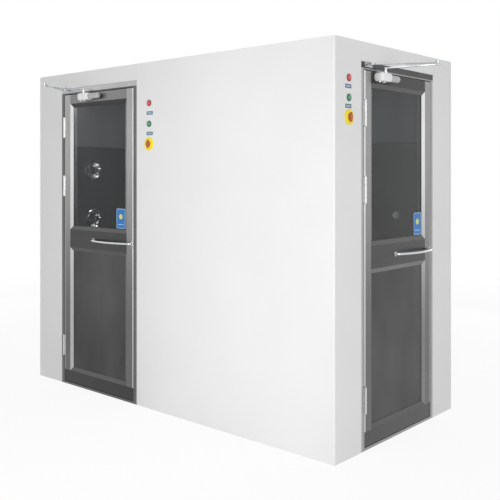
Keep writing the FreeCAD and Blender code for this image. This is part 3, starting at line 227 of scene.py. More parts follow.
def doorSpace(tree, side, output="Object"):
    # along the door from left to right, and up
    coords = addNode(tree, "ShaderNodeTexCoord")
    parts = addNode(tree, "ShaderNodeSeparateXYZ")
    tree.links.new(coords.outputs[output], parts.inputs[0])
    return parts.outputs["XY"[doorAxis[side]]], parts.outputs["Z"]


# Leaf frame: widths and heights of its zones in mm, colours of each zone and bevel per door. The colours are
# painted light: on each door the one steel takes the tones that light and reflection give its stiles and
# rails, with painted highlights and shade on its bevels and rim
leafLook = {
    "stileWide": 62, "topRail": 64, "kick": 80, "rim": 5, "upperHalf": 1500,
    "lockRail": (1011, 172, 26),  # middle, height, corner radius
    "paler": (0.5, 1.7),  # painted light: the stiles and their lit bevels grow paler between these heights in m
    "turned": 0.2,  # a face whose normal leans further than this is a bevel
    "fine": 700, "marks": 0.88, "clouds": 0.84, "roughness": (0.24, 0.36), "bump": (0.05, 0.0003),
    "front": {"stile": "#B2B2B2", "stileLow": "#767676", "topRail": "#8E8E8E", "lockRail": "#525252",
              "kick": "#4C4C4C", "lit": "#F0F0F0", "litLow": "#C4C4C4", "shade": "#787878",
              "under": "#5C5C5C", "underTop": "#484848", "over": "#666666", "litLean": 1},
    "end": {"stile": "#A4A4A4", "stileLow": "#767676", "topRail": "#4C4C4C", "lockRail": "#585858",
            "kick": "#5C5C5C", "lit": "#F2F2F2", "litLow": "#909090", "shade": "#6C6C6C",
            "under": "#7A7A7A", "underTop": "#606060", "over": "#666666", "litLean": -1},
}


def makeLeafSteel(side):
    # stiles are brushed upright and rails crosswise, as on a leaf made of joined profiles
    mat, tree, shader = startMaterial(f"{side}LeafSteel", 1.0)
    look = leafLook[side]
    axis = doorAxis[side]
    low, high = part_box(f"{side}_leaf_frame")
    along, up = doorSpace(tree, side)
    stile = leafLook["stileWide"] * mm
    inner = between(tree, along, low[axis] + stile, high[axis] - stile)
    top = maths(tree, "MULTIPLY", inner, maths(tree, "GREATER_THAN", up, high[2] - leafLook["topRail"] * mm))
    lockMiddle, lockHigh, corner = (v * mm for v in leafLook["lockRail"])
    lock = roundedPatch(tree, along, up, ((low[axis] + high[axis]) / 2, lockMiddle),
                        (high[axis] - low[axis] - 2 * stile, lockHigh), corner)
    kick = maths(tree, "LESS_THAN", up, low[2] + leafLook["kick"] * mm)
    crossing = maths(tree, "MAXIMUM", maths(tree, "MAXIMUM", top, lock), kick)
    lines = joinedMarks(tree, leafLook["fine"], crossing)
    clouds = stretchedNoise(tree, (1, 1, 0.5), 3.0)

    # painted reflection: the stiles grow paler upwards, and the top rail, lock rail and kick take this
    # door's tones
    rise = smoothStep(tree, up, *leafLook["paler"])
    base = mixColour(tree, rise, srgb(look["stileLow"]), srgb(look["stile"]))
    # painted highlight: a strip of the lit colour along both side edges of the leaf
    rim = leafLook["rim"] * mm
    edges = maths(tree, "SUBTRACT", 1.0, between(tree, along, low[axis] + rim, high[axis] - rim))
    base = mixColour(tree, edges, base, srgb(look["lit"]))
    for mask, key in ((top, "topRail"), (lock, "lockRail"), (kick, "kick")):
        base = mixColour(tree, mask, base, srgb(look[key]))

    # painted highlight and shade on the bevels, chosen by the way each faces: first those beside the panes,
    # lit on one side and shaded on the other, then those below them and above them
    lean, tilt = doorSpace(tree, side, "Normal")
    lean = maths(tree, "MULTIPLY", lean, look["litLean"])
    bevel = leafLook["turned"]
    lit = mixColour(tree, rise, srgb(look["litLow"]), srgb(look["lit"]))
    towards = maths(tree, "MULTIPLY", inner, maths(tree, "GREATER_THAN", lean, bevel))
    away = maths(tree, "MULTIPLY", inner, maths(tree, "LESS_THAN", lean, -bevel))
    base = mixColour(tree, towards, base, lit)
    base = mixColour(tree, away, base, srgb(look["shade"]))
    # painted light: the bevels facing down and those facing up take their own tones, those facing down
    # another tone in the upper half
    upper = maths(tree, "GREATER_THAN", up, leafLook["upperHalf"] * mm)
    under = mixColour(tree, upper, srgb(look["under"]), srgb(look["underTop"]))
    base = mixColour(tree, maths(tree, "LESS_THAN", tilt, -bevel), base, under)
    base = mixColour(tree, maths(tree, "GREATER_THAN", tilt, bevel), base, srgb(look["over"]))

    base = multiplied(tree, base, lines, [(0.3, leafLook["marks"]), (0.7, 1.0)])
    base = multiplied(tree, base, clouds, [(0.25, leafLook["clouds"]), (0.75, 1.0)])
    tree.links.new(base, shader.inputs["Base Color"])
    varyRoughness(tree, shader, lines, leafLook["roughness"])
    addBump(tree, shader, lines, *leafLook["bump"])
    return mat


# Door frame: widths of its head and of its outer edge in mm, colours per door, which are painted light: the
# head and jambs take the reflection they show on each door, and the outer edge a painted highlight
frameLook = {
    "head": 32, "edge": 12,
    "fine": 600, "marks": 0.88, "clouds": 0.82, "roughness": (0.24, 0.34), "bump": (0.05, 0.0003),
    "front": {"jamb": "#707070", "head": "#C6C6C6", "edge": "#808080"},
    "end": {"jamb": "#A2A2A2", "head": "#545454", "edge": "#C4C4C4"},
}


def makeFrameSteel(side):
    # the head is brushed crosswise and the jambs upright, with a painted highlight along the outer edge
    mat, tree, shader = startMaterial(f"{side}FrameSteel", 1.0)
    look = frameLook[side]
    axis = doorAxis[side]
    low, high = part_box(f"{side}_door_frame")
    along, up = doorSpace(tree, side)
    head = maths(tree, "GREATER_THAN", up, high[2] - frameLook["head"] * mm)
    strip = frameLook["edge"] * mm
    edge = maths(tree, "SUBTRACT", 1.0, between(tree, along, low[axis] + strip, high[axis] - strip))
    lines = joinedMarks(tree, frameLook["fine"], head)
    clouds = stretchedNoise(tree, (1, 1, 0.6), 4.0)
    # painted highlight along the outer edges, then the head's painted reflection
    base = mixColour(tree, edge, srgb(look["jamb"]), srgb(look["edge"]))
    base = mixColour(tree, head, base, srgb(look["head"]))
    base = multiplied(tree, base, lines, [(0.3, frameLook["marks"]), (0.7, 1.0)])
    base = multiplied(tree, base, clouds, [(0.25, frameLook["clouds"]), (0.75, 1.0)])
    tree.links.new(base, shader.inputs["Base Color"])
    varyRoughness(tree, shader, lines, frameLook["roughness"])
    addBump(tree, shader, lines, *frameLook["bump"])
    return mat


panelLook = {
    "low": "#3E3E3E", "high": "#5C5C5C", "marks": 0.93, "roughness": (0.26, 0.36),
    "bump": (0.03, 0.0003),
}


def makePanelSteel():
    # a smooth rolled sheet with soft paler patches
    mat, tree, shader = startMaterial("lowerPanelSteel", 1.0)
    lines = brushMarks(tree, (700, 700, 5))
    clouds = stretchedNoise(tree, (1, 1, 0.5), 2.4)
    base = ramp(tree, clouds, [(0.3, srgb(panelLook["low"])), (0.75, srgb(panelLook["high"]))])
    base = multiplied(tree, base, lines, [(0.3, panelLook["marks"]), (0.7, 1.0)])
    tree.links.new(base, shader.inputs["Base Color"])
    varyRoughness(tree, shader, clouds, panelLook["roughness"])
    addBump(tree, shader, lines, *panelLook["bump"])
    return mat


innerLook = {
    "seam": 1649,  # height in mm
    "low": "#6A6A6E", "high": "#ADADB3", "metallic": 0.65, "clouds": 0.8,
    "roughness": (0.30, 0.34), "bump": (0.01, 0.0002),
}


def makeInnerSteel():
    # chamber walls toned down as painted shade of the dim chamber, paler above their seam
    mat, tree, shader = startMaterial("innerWallSteel", innerLook["metallic"])
    lines = brushMarks(tree, (500, 500, 4))
    clouds = stretchedNoise(tree, (1, 1, 0.4), 2.0)
    up = doorSpace(tree, "front")[1]
    above = maths(tree, "GREATER_THAN", up, innerLook["seam"] * mm)
    base = mixColour(tree, above, srgb(innerLook["low"]), srgb(innerLook["high"]))
    base = multiplied(tree, base, clouds, [(0.3, innerLook["clouds"]), (0.7, 1.0)])
    tree.links.new(base, shader.inputs["Base Color"])
    varyRoughness(tree, shader, lines, innerLook["roughness"])
    addBump(tree, shader, lines, *innerLook["bump"])
    return mat


def makePolished(name, colour, roughness, fine=30.0):
    mat, tree, shader = startMaterial(name, 1.0)
    marks = stretchedNoise(tree, even, fine, 4.0)
    varyRoughness(tree, shader, marks, roughness, 0.35)
    pale = srgb(colour)
    deep = tuple(c * 0.9 for c in pale[:3]) + (1,)
    tree.links.new(ramp(tree, marks, [(0.2, deep), (0.8, pale)]), shader.inputs["Base Color"])
    return mat


def makeMoulded(name, colour, roughness, coat=0.0, speckle=300.0, bump=0.03, emission=0.0):
    mat, tree, shader = startMaterial(name)
    grain = stretchedNoise(tree, even, speckle, 2.0)
    deep = srgb(colour)
    pale = tuple(min(1.0, c * 1.08) for c in deep[:3]) + (1,)
    tree.links.new(ramp(tree, grain, [(0.3, deep), (0.7, pale)]), shader.inputs["Base Color"])
    varyRoughness(tree, shader, grain, roughness)
    shader.inputs["Coat Weight"].default_value = coat
    if emission:
        setInputs(shader, {"Emission Color": deep, "Emission Strength": emission})
    addBump(tree, shader, grain, bump, 0.0003)
    return mat


glassLook = {"tint": "#D6DADA", "tintPale": "#DEE2E2", "ior": 1.25}  # a low ior keeps its sheen low


def makeGlass():
    # clear glass with a faint tint, so that the chamber shows through it
    mat, tree, shader = startMaterial("doorGlass")
    smears = stretchedNoise(tree, (1, 1, 0.4), 6.0)
    tint = ramp(tree, smears, [(0.35, srgb(glassLook["tint"])), (0.75, srgb(glassLook["tintPale"]))])
    tree.links.new(tint, shader.inputs["Base Color"])
    setInputs(shader, {"Roughness": 0.0, "Transmission Weight": 1.0, "IOR": glassLook["ior"]})
    return mat


paperLook = {"deep": "#D9D7CC", "pale": "#F0EEE6", "roughness": 0.9, "bump": (0.3, 0.0006)}


def makePleated():
    mat, tree, shader = startMaterial("pleatedFilterPaper")
    fibres = stretchedNoise(tree, even, 160, 4.0)
    tone = ramp(tree, fibres, [(0.3, srgb(paperLook["deep"])), (0.7, srgb(paperLook["pale"]))])
    tree.links.new(tone, shader.inputs["Base Color"])
    shader.inputs["Roughness"].default_value = paperLook["roughness"]
    addBump(tree, shader, fibres, *paperLook["bump"])
    return mat


finishes = {
    "whitePaint": makeWhitePaint(),
    "frontFrameSteel": makeFrameSteel("front"),
    "endFrameSteel": makeFrameSteel("end"),
    "frontLeafSteel": makeLeafSteel("front"),
    "endLeafSteel": makeLeafSteel("end"),
    "panelSteel": makePanelSteel(),
    "innerSteel": makeInnerSteel(),
    "floorSteel": makeBrushed("floorSteel", "#868889", "#727475", (0.30, 0.45), "x"),
    "bright": makePolished("polishedSteel", "#D2D4D6", (0.10, 0.18)),
    "hingeSatin": makePolished("hingeSatinSteel", "#D2D2D2", (0.26, 0.36), fine=80.0),
    "chrome": makePolished("nozzleChrome", "#F2F2F2", (0.04, 0.09)),
    "armZinc": makePolished("armZinc", "#B6B9BC", (0.24, 0.36), fine=60.0),
    "closerPaint": makeMoulded("closerSilverPaint", "#F2F2F2", (0.30, 0.40), coat=0.2, speckle=500.0,
                               bump=0.05),
    "barrelGrey": makeMoulded("closerBarrelGrey", "#B6B7B8", (0.30, 0.40), coat=0.1, speckle=500.0,
                              bump=0.05),
    "glass": makeGlass(),
    "rubber": makeMoulded("doorSealRubber", "#1E1F20", (0.55, 0.7), speckle=200.0, bump=0.1),
    "redLens": makeMoulded("redLensPlastic", "#C23A48", (0.12, 0.2), coat=0.5, speckle=60.0, bump=0.02,
                           emission=0.25),
    "greenLens": makeMoulded("greenLensPlastic", "#3A8A62", (0.12, 0.2), coat=0.5, speckle=60.0,
                             bump=0.02, emission=0.18),
    "bezelRed": makeMoulded("redLampBezel", "#7C1E2C", (0.22, 0.32), coat=0.3),
    "bezelGreen": makeMoulded("greenLampBezel", "#1B4F36", (0.22, 0.32), coat=0.3),
    "yellow": makeMoulded("switchYellow", "#FBE524", (0.28, 0.38), coat=0.3, speckle=200.0, bump=0.02),
    "knobRed": makeMoulded("switchKnobRed", "#B35A1E", (0.26, 0.36), coat=0.3, speckle=200.0, bump=0.02),
    "labelWhite": makeMoulded("labelPlatePale", "#A9BDC6", (0.35, 0.45), coat=0.1),
    "labelBlue": makeMoulded("labelPlateBlue", "#4A6C8E", (0.35, 0.45), coat=0.1),
    "stickerBlue": makeMoulded("stickerBlue", "#066FBE", (0.30, 0.40), coat=0.2),
    "stickerEdge": makeMoulded("stickerEdge", "#9CCBEE", (0.30, 0.40), coat=0.2),
    "stickerMark": makeMoulded("stickerMark", "#D8E06A", (0.30, 0.40), coat=0.2),
    "diffuser": makeMoulded("lampDiffuser", "#F4F4F0", (0.5, 0.6), speckle=200.0, bump=0.05, emission=3.0),
    "whitePlastic": makeMoulded("whitePlastic", "#EEEEEA", (0.35, 0.45), coat=0.1),
    "galvanised": makeBrushed("galvanisedSheet", "#A8ACAF", "#8F9396", (0.38, 0.5), "flat", coarse=0.2,
                              bump=0.05),
    "motorBlack": makeMoulded("motorBlack", "#232527", (0.4, 0.5)),
    "paper": makePleated(),
    "felt": makeMoulded("prefilterFelt", "#DFE2E0", (0.9, 1.0), speckle=120.0, bump=0.4),
}
print("materials made:", len(finishes))

cadFinish = {
    "whitePaint": ["front_main_panel", "front_left_panel", "left_end_panel", "back_left_panel",
                   "back_right_panel", "front_header_panel", "end_header_panel", "roof_panel",
                   "control_box", "lamp_housing"],
    "frontFrameSteel": ["front_door_frame"],
    "endFrameSteel": ["end_door_frame"],
    "frontLeafSteel": ["front_leaf_frame"],
    "endLeafSteel": ["end_leaf_frame"],
    "panelSteel": ["front_lower_panel", "end_lower_panel"],
    "innerSteel": ["inner_left_wall", "inner_back_wall", "inner_front_wall", "passage_wall",
                   "inner_ceiling", "return_grille"],
    "floorSteel": ["chamber_floor", "base_tray"],
    "bright": ["front_pull_handle", "end_pull_handle"],
    "hingeSatin": ["hinge_frame_leaves", "front_hinge_leaves", "end_hinge_leaves", "door_magnets"],
    "chrome": ["nozzle_rings"] + [f"nozzle_{i}_ball" for i in range(1, 7)],
    "armZinc": ["closer_shoes", "front_closer_main_arm", "front_closer_forearm",
                "end_closer_main_arm", "end_closer_forearm"],
    "closerPaint": ["front_closer_body", "end_closer_body"],
    "glass": ["front_window_glass", "end_window_glass"],
    "rubber": ["door_seals"],
    "redLens": ["red_lamps"],
    "greenLens": ["green_lamps"],
    "yellow": ["switch_plates"],
    "knobRed": ["front_switch_knob", "end_switch_knob"],
    "diffuser": ["lamp_diffuser"],
    "whitePlastic": ["presence_sensor"],
    "galvanised": ["blower_housing", "blower_impeller", "filter_frame"],
    "motorBlack": ["blower_motor"],
    "paper": ["hepa_filter"],
    "felt": ["prefilter"],
}
for finish, names in cadFinish.items():
    for name in names:
        mesh = nodes[name].data
        mesh.materials.clear()
        mesh.materials.append(finishes[finish])
print("CAD nodes finished:", sum(len(names) for names in cadFinish.values()))


crispFrom = 35  # degrees between two faces, from which their edge stays crisp


def meshObject(name, bm, finishKeys, smooth=True):
    mesh = bpy.data.meshes.new(name)
    bmesh.ops.recalc_face_normals(bm, faces=bm.faces)
    bm.to_mesh(mesh)
    bm.free()
    obj = bpy.data.objects.new(name, mesh)
    bpy.context.scene.collection.objects.link(obj)
    for key in finishKeys:
        mesh.materials.append(finishes[key])
    for face in mesh.polygons:
        face.use_smooth = smooth
    if smooth:
        mesh.set_sharp_from_angle(angle=math.radians(crispFrom))
    return obj


def latheInto(bm, profile, place, segments=48, slot=0):
    # turns (radius, height) pairs in mm about the local z axis; a radius of 0 closes the end
    rings = []
    for radius, height in profile:
        ring = []
        for k in range(segments if radius else 1):
            angle = 2 * math.pi * k / segments
            ring.append(bm.verts.new(place @ Vector((
                radius * mm * math.cos(angle), radius * mm * math.sin(angle), height * mm))))
        rings.append(ring)
    for low, high in zip(rings, rings[1:]):
        for k in range(segments):
            after = (k + 1) % segments
            if len(low) == 1:
                corners = [low[0], high[k], high[after]]
            elif len(high) == 1:
                corners = [low[k], low[after], high[0]]
            else:
                corners = [low[k], low[after], high[after], high[k]]
            bm.faces.new(corners).material_index = slot


def loftRings(bm, rings, slot=0):
    # a closed skin over rings of equally many points
    count = len(rings[0])
    for low, high in zip(rings, rings[1:]):
        for k in range(count):
            after = (k + 1) % count
            bm.faces.new([low[k], low[after], high[after], high[k]]).material_index = slot
    bm.faces.new(rings[-1]).material_index = slot
    bm.faces.new(list(reversed(rings[0]))).material_index = slot


def roundedOutline(wide, high, corner, steps):
    # the points of a rectangle with round corners about its centre
    points = []
    for x, y, start in ((wide / 2 - corner, high / 2 - corner, 0),
                        (-wide / 2 + corner, high / 2 - corner, 90),
                        (-wide / 2 + corner, -high / 2 + corner, 180),
                        (wide / 2 - corner, -high / 2 + corner, 270)):
        for k in range(steps + 1):
            angle = math.radians(start + 90 * k / steps)
            points.append((x + corner * math.cos(angle), y + corner * math.sin(angle)))
    return points


def outward(side, x, y, z):
    # a place on the door wall whose local z axis points out of the cabinet
    return doorPlace[side] @ shift(x, y, z) @ turn(90, "X")


def roundedPlate(bm, place, wide, high, corner, low, top, slot=0, steps=6, bevel=0.0):
    # a flat plate with round corners in the local xy plane, from height low to top, in mm
    outlines = [(wide, high, corner, low), (wide, high, corner, top - bevel)]
    if bevel:
        outlines.append((wide - 2 * bevel, high - 2 * bevel, corner - bevel, top))
    loftRings(bm, [[bm.verts.new(place @ Vector((x * mm, y * mm, level * mm)))
                    for x, y in roundedOutline(w, h, r, steps)] for w, h, r, level in outlines], slot)


# Lamps, label plates and switches beside each door: places along and up the door wall, in mm
controls = {
    "offset": {"front": 906, "end": -116},
    "red": {"front": 1895, "end": 1949},
    "green": {"front": 1766, "end": 1847},
    "switch": {"front": 1641, "end": 1747},
    "label": {"front": (1833, 1706), "end": (1905, 1803)},
    "labelShift": {"front": 6, "end": -6},
    "labelSize": (56, 21), "labelCorner": 2, "labelThick": 0.9, "labelBevel": 0.3,
    "faceSize": (40, 9), "faceCorner": 1, "faceTop": 1.1,  # the paler middle of a label plate
}

# Half sections: radius, height over the wall, in mm
lampForm = {
    "ring": ((0, -40), (10.6, -40), (11, -39.6), (11, 0), (20, 0), (20, 2.4), (19.2, 3.6), (17.6, 4),
             (15, 4), (14.7, 3.2)),
    "lens": ((14.7, 3.2), (14.5, 5.2), (13.3, 7.1), (10.5, 8.3), (6.8, 8.8), (3.2, 9.0), (0, 9.0)),
}
switchForm = {
    "disc": ((0, -46), (10.6, -46), (11, -45.6), (11, 0), (40, 0), (40, 4.0), (39.4, 5.4), (38, 6),
             (33, 6), (32, 5.3), (25, 5.3), (24, 6.0), (24, 7.4), (23.4, 8), (4.1, 8), (4.1, 2.7),
             (0, 2.7)),
    "knobFoot": ((0, 3), (4, 3), (4, 8.3), (20.5, 8.3), (21, 8.8), (21, 11.2), (20.0, 12.2),
                 (18.4, 12.3), (0, 12.3)),
    # half the grip's outline, and the share of it at each height
    "grip": [(0.0, 26.0), (2.9, 24.6), (5.4, 20.6), (7.4, 13.6), (8.6, 5.0), (8.6, -5.0),
             (7.4, -13.6), (5.4, -20.6), (2.9, -24.6)],
    "gripLevels": ((8.4, 1.0), (15.6, 0.96), (17.8, 0.90), (18.9, 0.78), (19.2, 0.60)),
}


def controlPlace(side, key):
    return outward(side, controls["offset"][side], 0, controls[key][side])


def buildLamps():
    for colour in ("red", "green"):
        bm = bmesh.new()
        for side in sides:
            place = controlPlace(side, colour)
            latheInto(bm, lampForm["ring"], place, slot=1)
            latheInto(bm, lampForm["lens"], place)
        lamp = meshObject(f"{colour}LampPair", bm, [f"{colour}Lens", f"bezel{colour.title()}"])
        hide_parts(f"{colour}_lamps")
        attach(lamp, "cabinet")


def buildLabels():
    bm = bmesh.new()
    thick = controls["labelThick"]
    for side in sides:
        x = controls["offset"][side] + controls["labelShift"][side]
        for level in controls["label"][side]:
            place = outward(side, x, 0, level)
            roundedPlate(bm, place, *controls["labelSize"], controls["labelCorner"], 0, thick,
                         slot=1, steps=4, bevel=controls["labelBevel"])
            roundedPlate(bm, place, *controls["faceSize"], controls["faceCorner"], thick,
                         controls["faceTop"], steps=4)
    labels = meshObject("bareLabelPlates", bm, ["labelWhite", "labelBlue"], False)
    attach(labels, "cabinet")


def buildSwitches():
    bm = bmesh.new()
    for side in sides:
        latheInto(bm, switchForm["disc"], controlPlace(side, "switch"), 64)
    discs = meshObject("switchDiscPair", bm, ["yellow"])
    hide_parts("switch_plates")
    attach(discs, "cabinet")
    outline = switchForm["grip"] + [(-x, -y) for x, y in switchForm["grip"]]
    for side in sides:
        bm = bmesh.new()
        place = controlPlace(side, "switch")
        latheInto(bm, switchForm["knobFoot"], place)
        # the grip narrows twice as fast across as along
        loftRings(bm, [[bm.verts.new(place @ Vector((x * s * mm, y * (0.5 + s / 2) * mm, h * mm)))
                        for x, y in outline] for h, s in switchForm["gripLevels"]])
        knob = meshObject(f"{side}SwitchKnob", bm, ["knobRed"])
        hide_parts(f"{side}_switch_knob")
        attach(knob, f"{side}_knob")


buildLamps()
buildLabels()
buildSwitches()
print("lamps, labels and switches built")


# Door closers, in the door's own frame, mm
closer = {
    "start": {"front": 239.5, "end": 131.5},
    "long": 104, "barrelLong": 95, "low": 1951, "high": 1998, "deep": 52,
    "barrelRadius": 19, "spindleOut": 36, "armLow": 2020, "armHigh": 2026, "knobs": (9, 52),
    # sections of the casting: distance, share of its full size, corner radius
    "fromStart": ((0, 0.72, 8), (1.5, 0.84, 9), (4, 0.94, 10), (9, 1.0, 10), (34, 1.0, 10),
                  (36, 0.955, 9), (41, 0.955, 9), (43, 1.0, 10)),
    "beforeBarrel": ((24, 1.0, 10), (9, 0.98, 12), (3, 0.93, 13), (0, 0.90, 14)),
    "knob": ((7, 0), (7, 3.0), (6, 3.4), (6, 7.4), (5.2, 8.6), (3.5, 9), (0, 9)),
}


def addCasting(bm, place, start, stop):
    deep = closer["deep"]
    middle = (closer["low"] + closer["high"]) / 2
    tall = closer["high"] - closer["low"]
    sections = [(start + x, s, corner) for x, s, corner in closer["fromStart"]]
    sections += [(stop - x, s, corner) for x, s, corner in closer["beforeBarrel"]]
    rings = []
    for x, s, corner in sections:
        outline = roundedOutline(deep * s, tall * s, corner, 5)
        rings.append([bm.verts.new(place @ Vector((x * mm, (y - deep * s / 2) * mm, (z + middle) * mm)))
                      for y, z in outline])
    loftRings(bm, rings)


def addBarrel(bm, place, stop, end):
    radius = closer["barrelRadius"]
    middle = (closer["low"] + closer["high"]) / 2
    profile = ((0, stop - 3), (radius, stop - 3), (radius, stop + 6), (radius - 1, stop + 7),
               (radius - 1, stop + 9), (radius, stop + 10), (radius, end - 7),
               (radius - 1.2, end - 3.5), (radius - 4, end - 1), (radius - 7, end), (0, end))
    latheInto(bm, profile, place @ shift(0, -closer["deep"] / 2, middle) @ turn(90, "Y"), 56, 1)


def addSpindle(bm, place, start):
    top, armLow, armHigh = closer["high"], closer["armLow"], closer["armHigh"]
    profile = ((12, top - 1.5), (12, top + 2), (8, top + 3), (8, armLow - 0.3), (5, armLow - 0.3),
               (5, armHigh - 0.4), (4.4, armHigh), (0, armHigh))
    latheInto(bm, profile, place @ shift(start + closer["long"] / 2, -closer["spindleOut"], 0), 40, 2)


def buildClosers():
    for side in sides:
        bm = bmesh.new()
        place = doorPlace[side]
        start = closer["start"][side]
        stop = start + closer["long"]
        addCasting(bm, place, start, stop)
        addBarrel(bm, place, stop, stop + closer["barrelLong"])
        for x in closer["knobs"]:
            below = place @ shift(start + x, -closer["deep"] / 2, closer["low"] + 2) @ turn(180, "X")
            latheInto(bm, closer["knob"], below, 32, 2)
        addSpindle(bm, place, start)
        body = meshObject(f"{side}CloserBody", bm, ["closerPaint", "barrelGrey", "bright"])
        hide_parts(f"{side}_closer_body")
        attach(body, f"{side}_door")


buildClosers()
print("door closers built")


# Countersunk screws in the hinge plates, in the door's own frame, mm
hingeScrew = {
    "along": {"frame": 22.5, "leaf": 44.5}, "plate": 2.5, "radius": 2.7, "spread": 50,
    "low": 266, "middle": 1372, "topDrop": 226,
}


def addScrew(bm, place, radius):
    latheInto(bm, ((0, 0.02), (radius, 0.02), (radius - 0.3, 0.45), (radius * 0.45, 0.6),
                   (radius * 0.4, 0.25), (0, 0.25)), place, 16)


def buildHingeScrews():
    framePlates = bmesh.new()
    for side in sides:
        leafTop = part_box(f"{side}_leaf_frame")[1].z / mm
        leafPlates = bmesh.new()
        for middle in (hingeScrew["low"], hingeScrew["middle"], leafTop - hingeScrew["topDrop"]):
            for step in (-1, 0, 1):
                z = middle + step * hingeScrew["spread"]
                for bm, key in ((framePlates, "frame"), (leafPlates, "leaf")):
                    spot = outward(side, hingeScrew["along"][key], -hingeScrew["plate"], z)
                    addScrew(bm, spot, hingeScrew["radius"])
        onLeaf = meshObject(f"{side}LeafHingeScrews", leafPlates, ["hingeSatin"])
        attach(onLeaf, f"{side}_door")
    onFrame = meshObject("frameHingeScrews", framePlates, ["hingeSatin"])
    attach(onFrame, "cabinet")


buildHingeScrews()
print("hinge screws built")


# Pull handles, mm
pull = {
    "z": 1011, "around": 20, "clear": 0.02,  # clear of the leaf's face
    "rose": (13, 4),  # radius and thickness of the disc at each foot
    # the bar: along the door, out of it where negative, radius
    "path": ((352, 0, 9.4), (352, -7, 8.2), (353, -13, 7.6), (358, -19, 7.1), (370, -25.5, 6.8),
             (395, -35, 6.6), (440, -47, 6.5), (490, -54.6, 6.5), (547, -58, 6.5),
             (604, -54.6, 6.5), (654, -47, 6.5), (699, -35, 6.6), (724, -25.5, 6.8),
             (736, -19, 7.1), (741, -13, 7.6), (742, -7, 8.2), (742, 0, 9.4)),
}


def smoothPath(points, steps=6):
    # a smooth line through the points, with the radius carried along
    out = []
    for i in range(len(points) - 1):
        before = Vector(points[max(i - 1, 0)])
        a, b = Vector(points[i]), Vector(points[i + 1])
        later = Vector(points[min(i + 2, len(points) - 1)])
        for k in range(steps):
            t = k / steps
            out.append(0.5 * (2 * a + (b - before) * t + (2 * before - 5 * a + 4 * b - later) * t ** 2
                              + (3 * a - before - 3 * b + later) * t ** 3))
    out.append(Vector(points[-1]))
    return out


def addBar(bm, place):
    line = smoothPath(pull["path"])
    rings = []
    for i, spot in enumerate(line):
        ahead = line[min(i + 1, len(line) - 1)] - line[max(i - 1, 0)]
        aside = Vector((-ahead.y, ahead.x)).normalized()
        ring = []
        for k in range(pull["around"]):
            angle = 2 * math.pi * k / pull["around"]
            reach = spot.z * math.cos(angle)
            y = min(spot.y + aside.y * reach, -pull["clear"])
            ring.append(bm.verts.new(place @ Vector((
                (spot.x + aside.x * reach) * mm, y * mm,
                (pull["z"] + spot.z * math.sin(angle)) * mm))))
        rings.append(ring)
    loftRings(bm, rings)


def buildPulls():
    radius, thick = pull["rose"]
    rose = ((0, pull["clear"]), (radius, pull["clear"]), (radius, thick - 1.4),
            (radius - 1.2, thick - 0.3), (radius - 3, thick), (0, thick))
    for side in sides:
        bm = bmesh.new()
        addBar(bm, doorPlace[side])
        for x in (pull["path"][0][0], pull["path"][-1][0]):
            latheInto(bm, rose, outward(side, x, 0, pull["z"]))
        bar = meshObject(f"{side}PullHandle", bm, ["bright"])
        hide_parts(f"{side}_pull_handle")
        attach(bar, f"{side}_door")


buildPulls()
print("pull handles built")


# Stickers on the glass: a bordered patch with a round mark and a bar, mm
sticker = {
    "x": 622, "z": 1166, "face": 11.8,  # the face of the glass behind the leaf's front
    "wide": 86, "high": 128, "corner": 7, "border": 4, "patchCorner": 5,
    "markRadius": 17, "markUp": 12, "barDown": 38, "barSize": (56, 5), "barCorner": 2,
    "levels": (0.05, 0.30, 0.36, 0.42),  # back, border, patch, and top of the mark and bar
}


def buildStickers():
    wide, high = sticker["wide"], sticker["high"]
    edges = 2 * sticker["border"]
    back, border, patch, top = sticker["levels"]
    mark = ((0, patch), (sticker["markRadius"], patch), (sticker["markRadius"], top), (0, top))
    for side in sides:
        bm = bmesh.new()
        place = outward(side, sticker["x"], sticker["face"], sticker["z"])
        roundedPlate(bm, place, wide, high, sticker["corner"], back, border, slot=1)
        roundedPlate(bm, place, wide - edges, high - edges, sticker["patchCorner"], border, patch)
        latheInto(bm, mark, place @ shift(0, sticker["markUp"], 0), 32, 2)
        bar = place @ shift(0, -sticker["barDown"], 0)
        roundedPlate(bm, bar, *sticker["barSize"], sticker["barCorner"], patch, top, slot=1)
        decal = meshObject(f"{side}GlassSticker", bm, ["stickerBlue", "stickerEdge", "stickerMark"],
                           False)
        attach(decal, f"{side}_door")


buildStickers()
print("stickers built")


# Floor and background
studio = {
    "floorColour": "#F2F2F2", "floorRoughness": 0.9,
    "floorSize": 40, "floorDrop": 0.0005,  # m; the drop keeps it clear of the base
    "nearWhite": 0.9,  # how white the floor looks near the object
    "fade": (2.4, 7.0),  # distances in m between which it fades to the background
    "worldLevel": 0.455,  # what the surroundings light the object with
    "seenLevel": 1.0,  # what the camera, mirrors and glass see
}


def seenBackground(tree):
    # 1 for camera, mirror and glass rays, 0 for the rays that light the object
    path = tree.nodes.new("ShaderNodeLightPath")
    seen = path.outputs["Is Camera Ray"]
    for output in ("Is Glossy Ray", "Is Transmission Ray"):
        seen = maths(tree, "MAXIMUM", seen, path.outputs[output])
    return seen


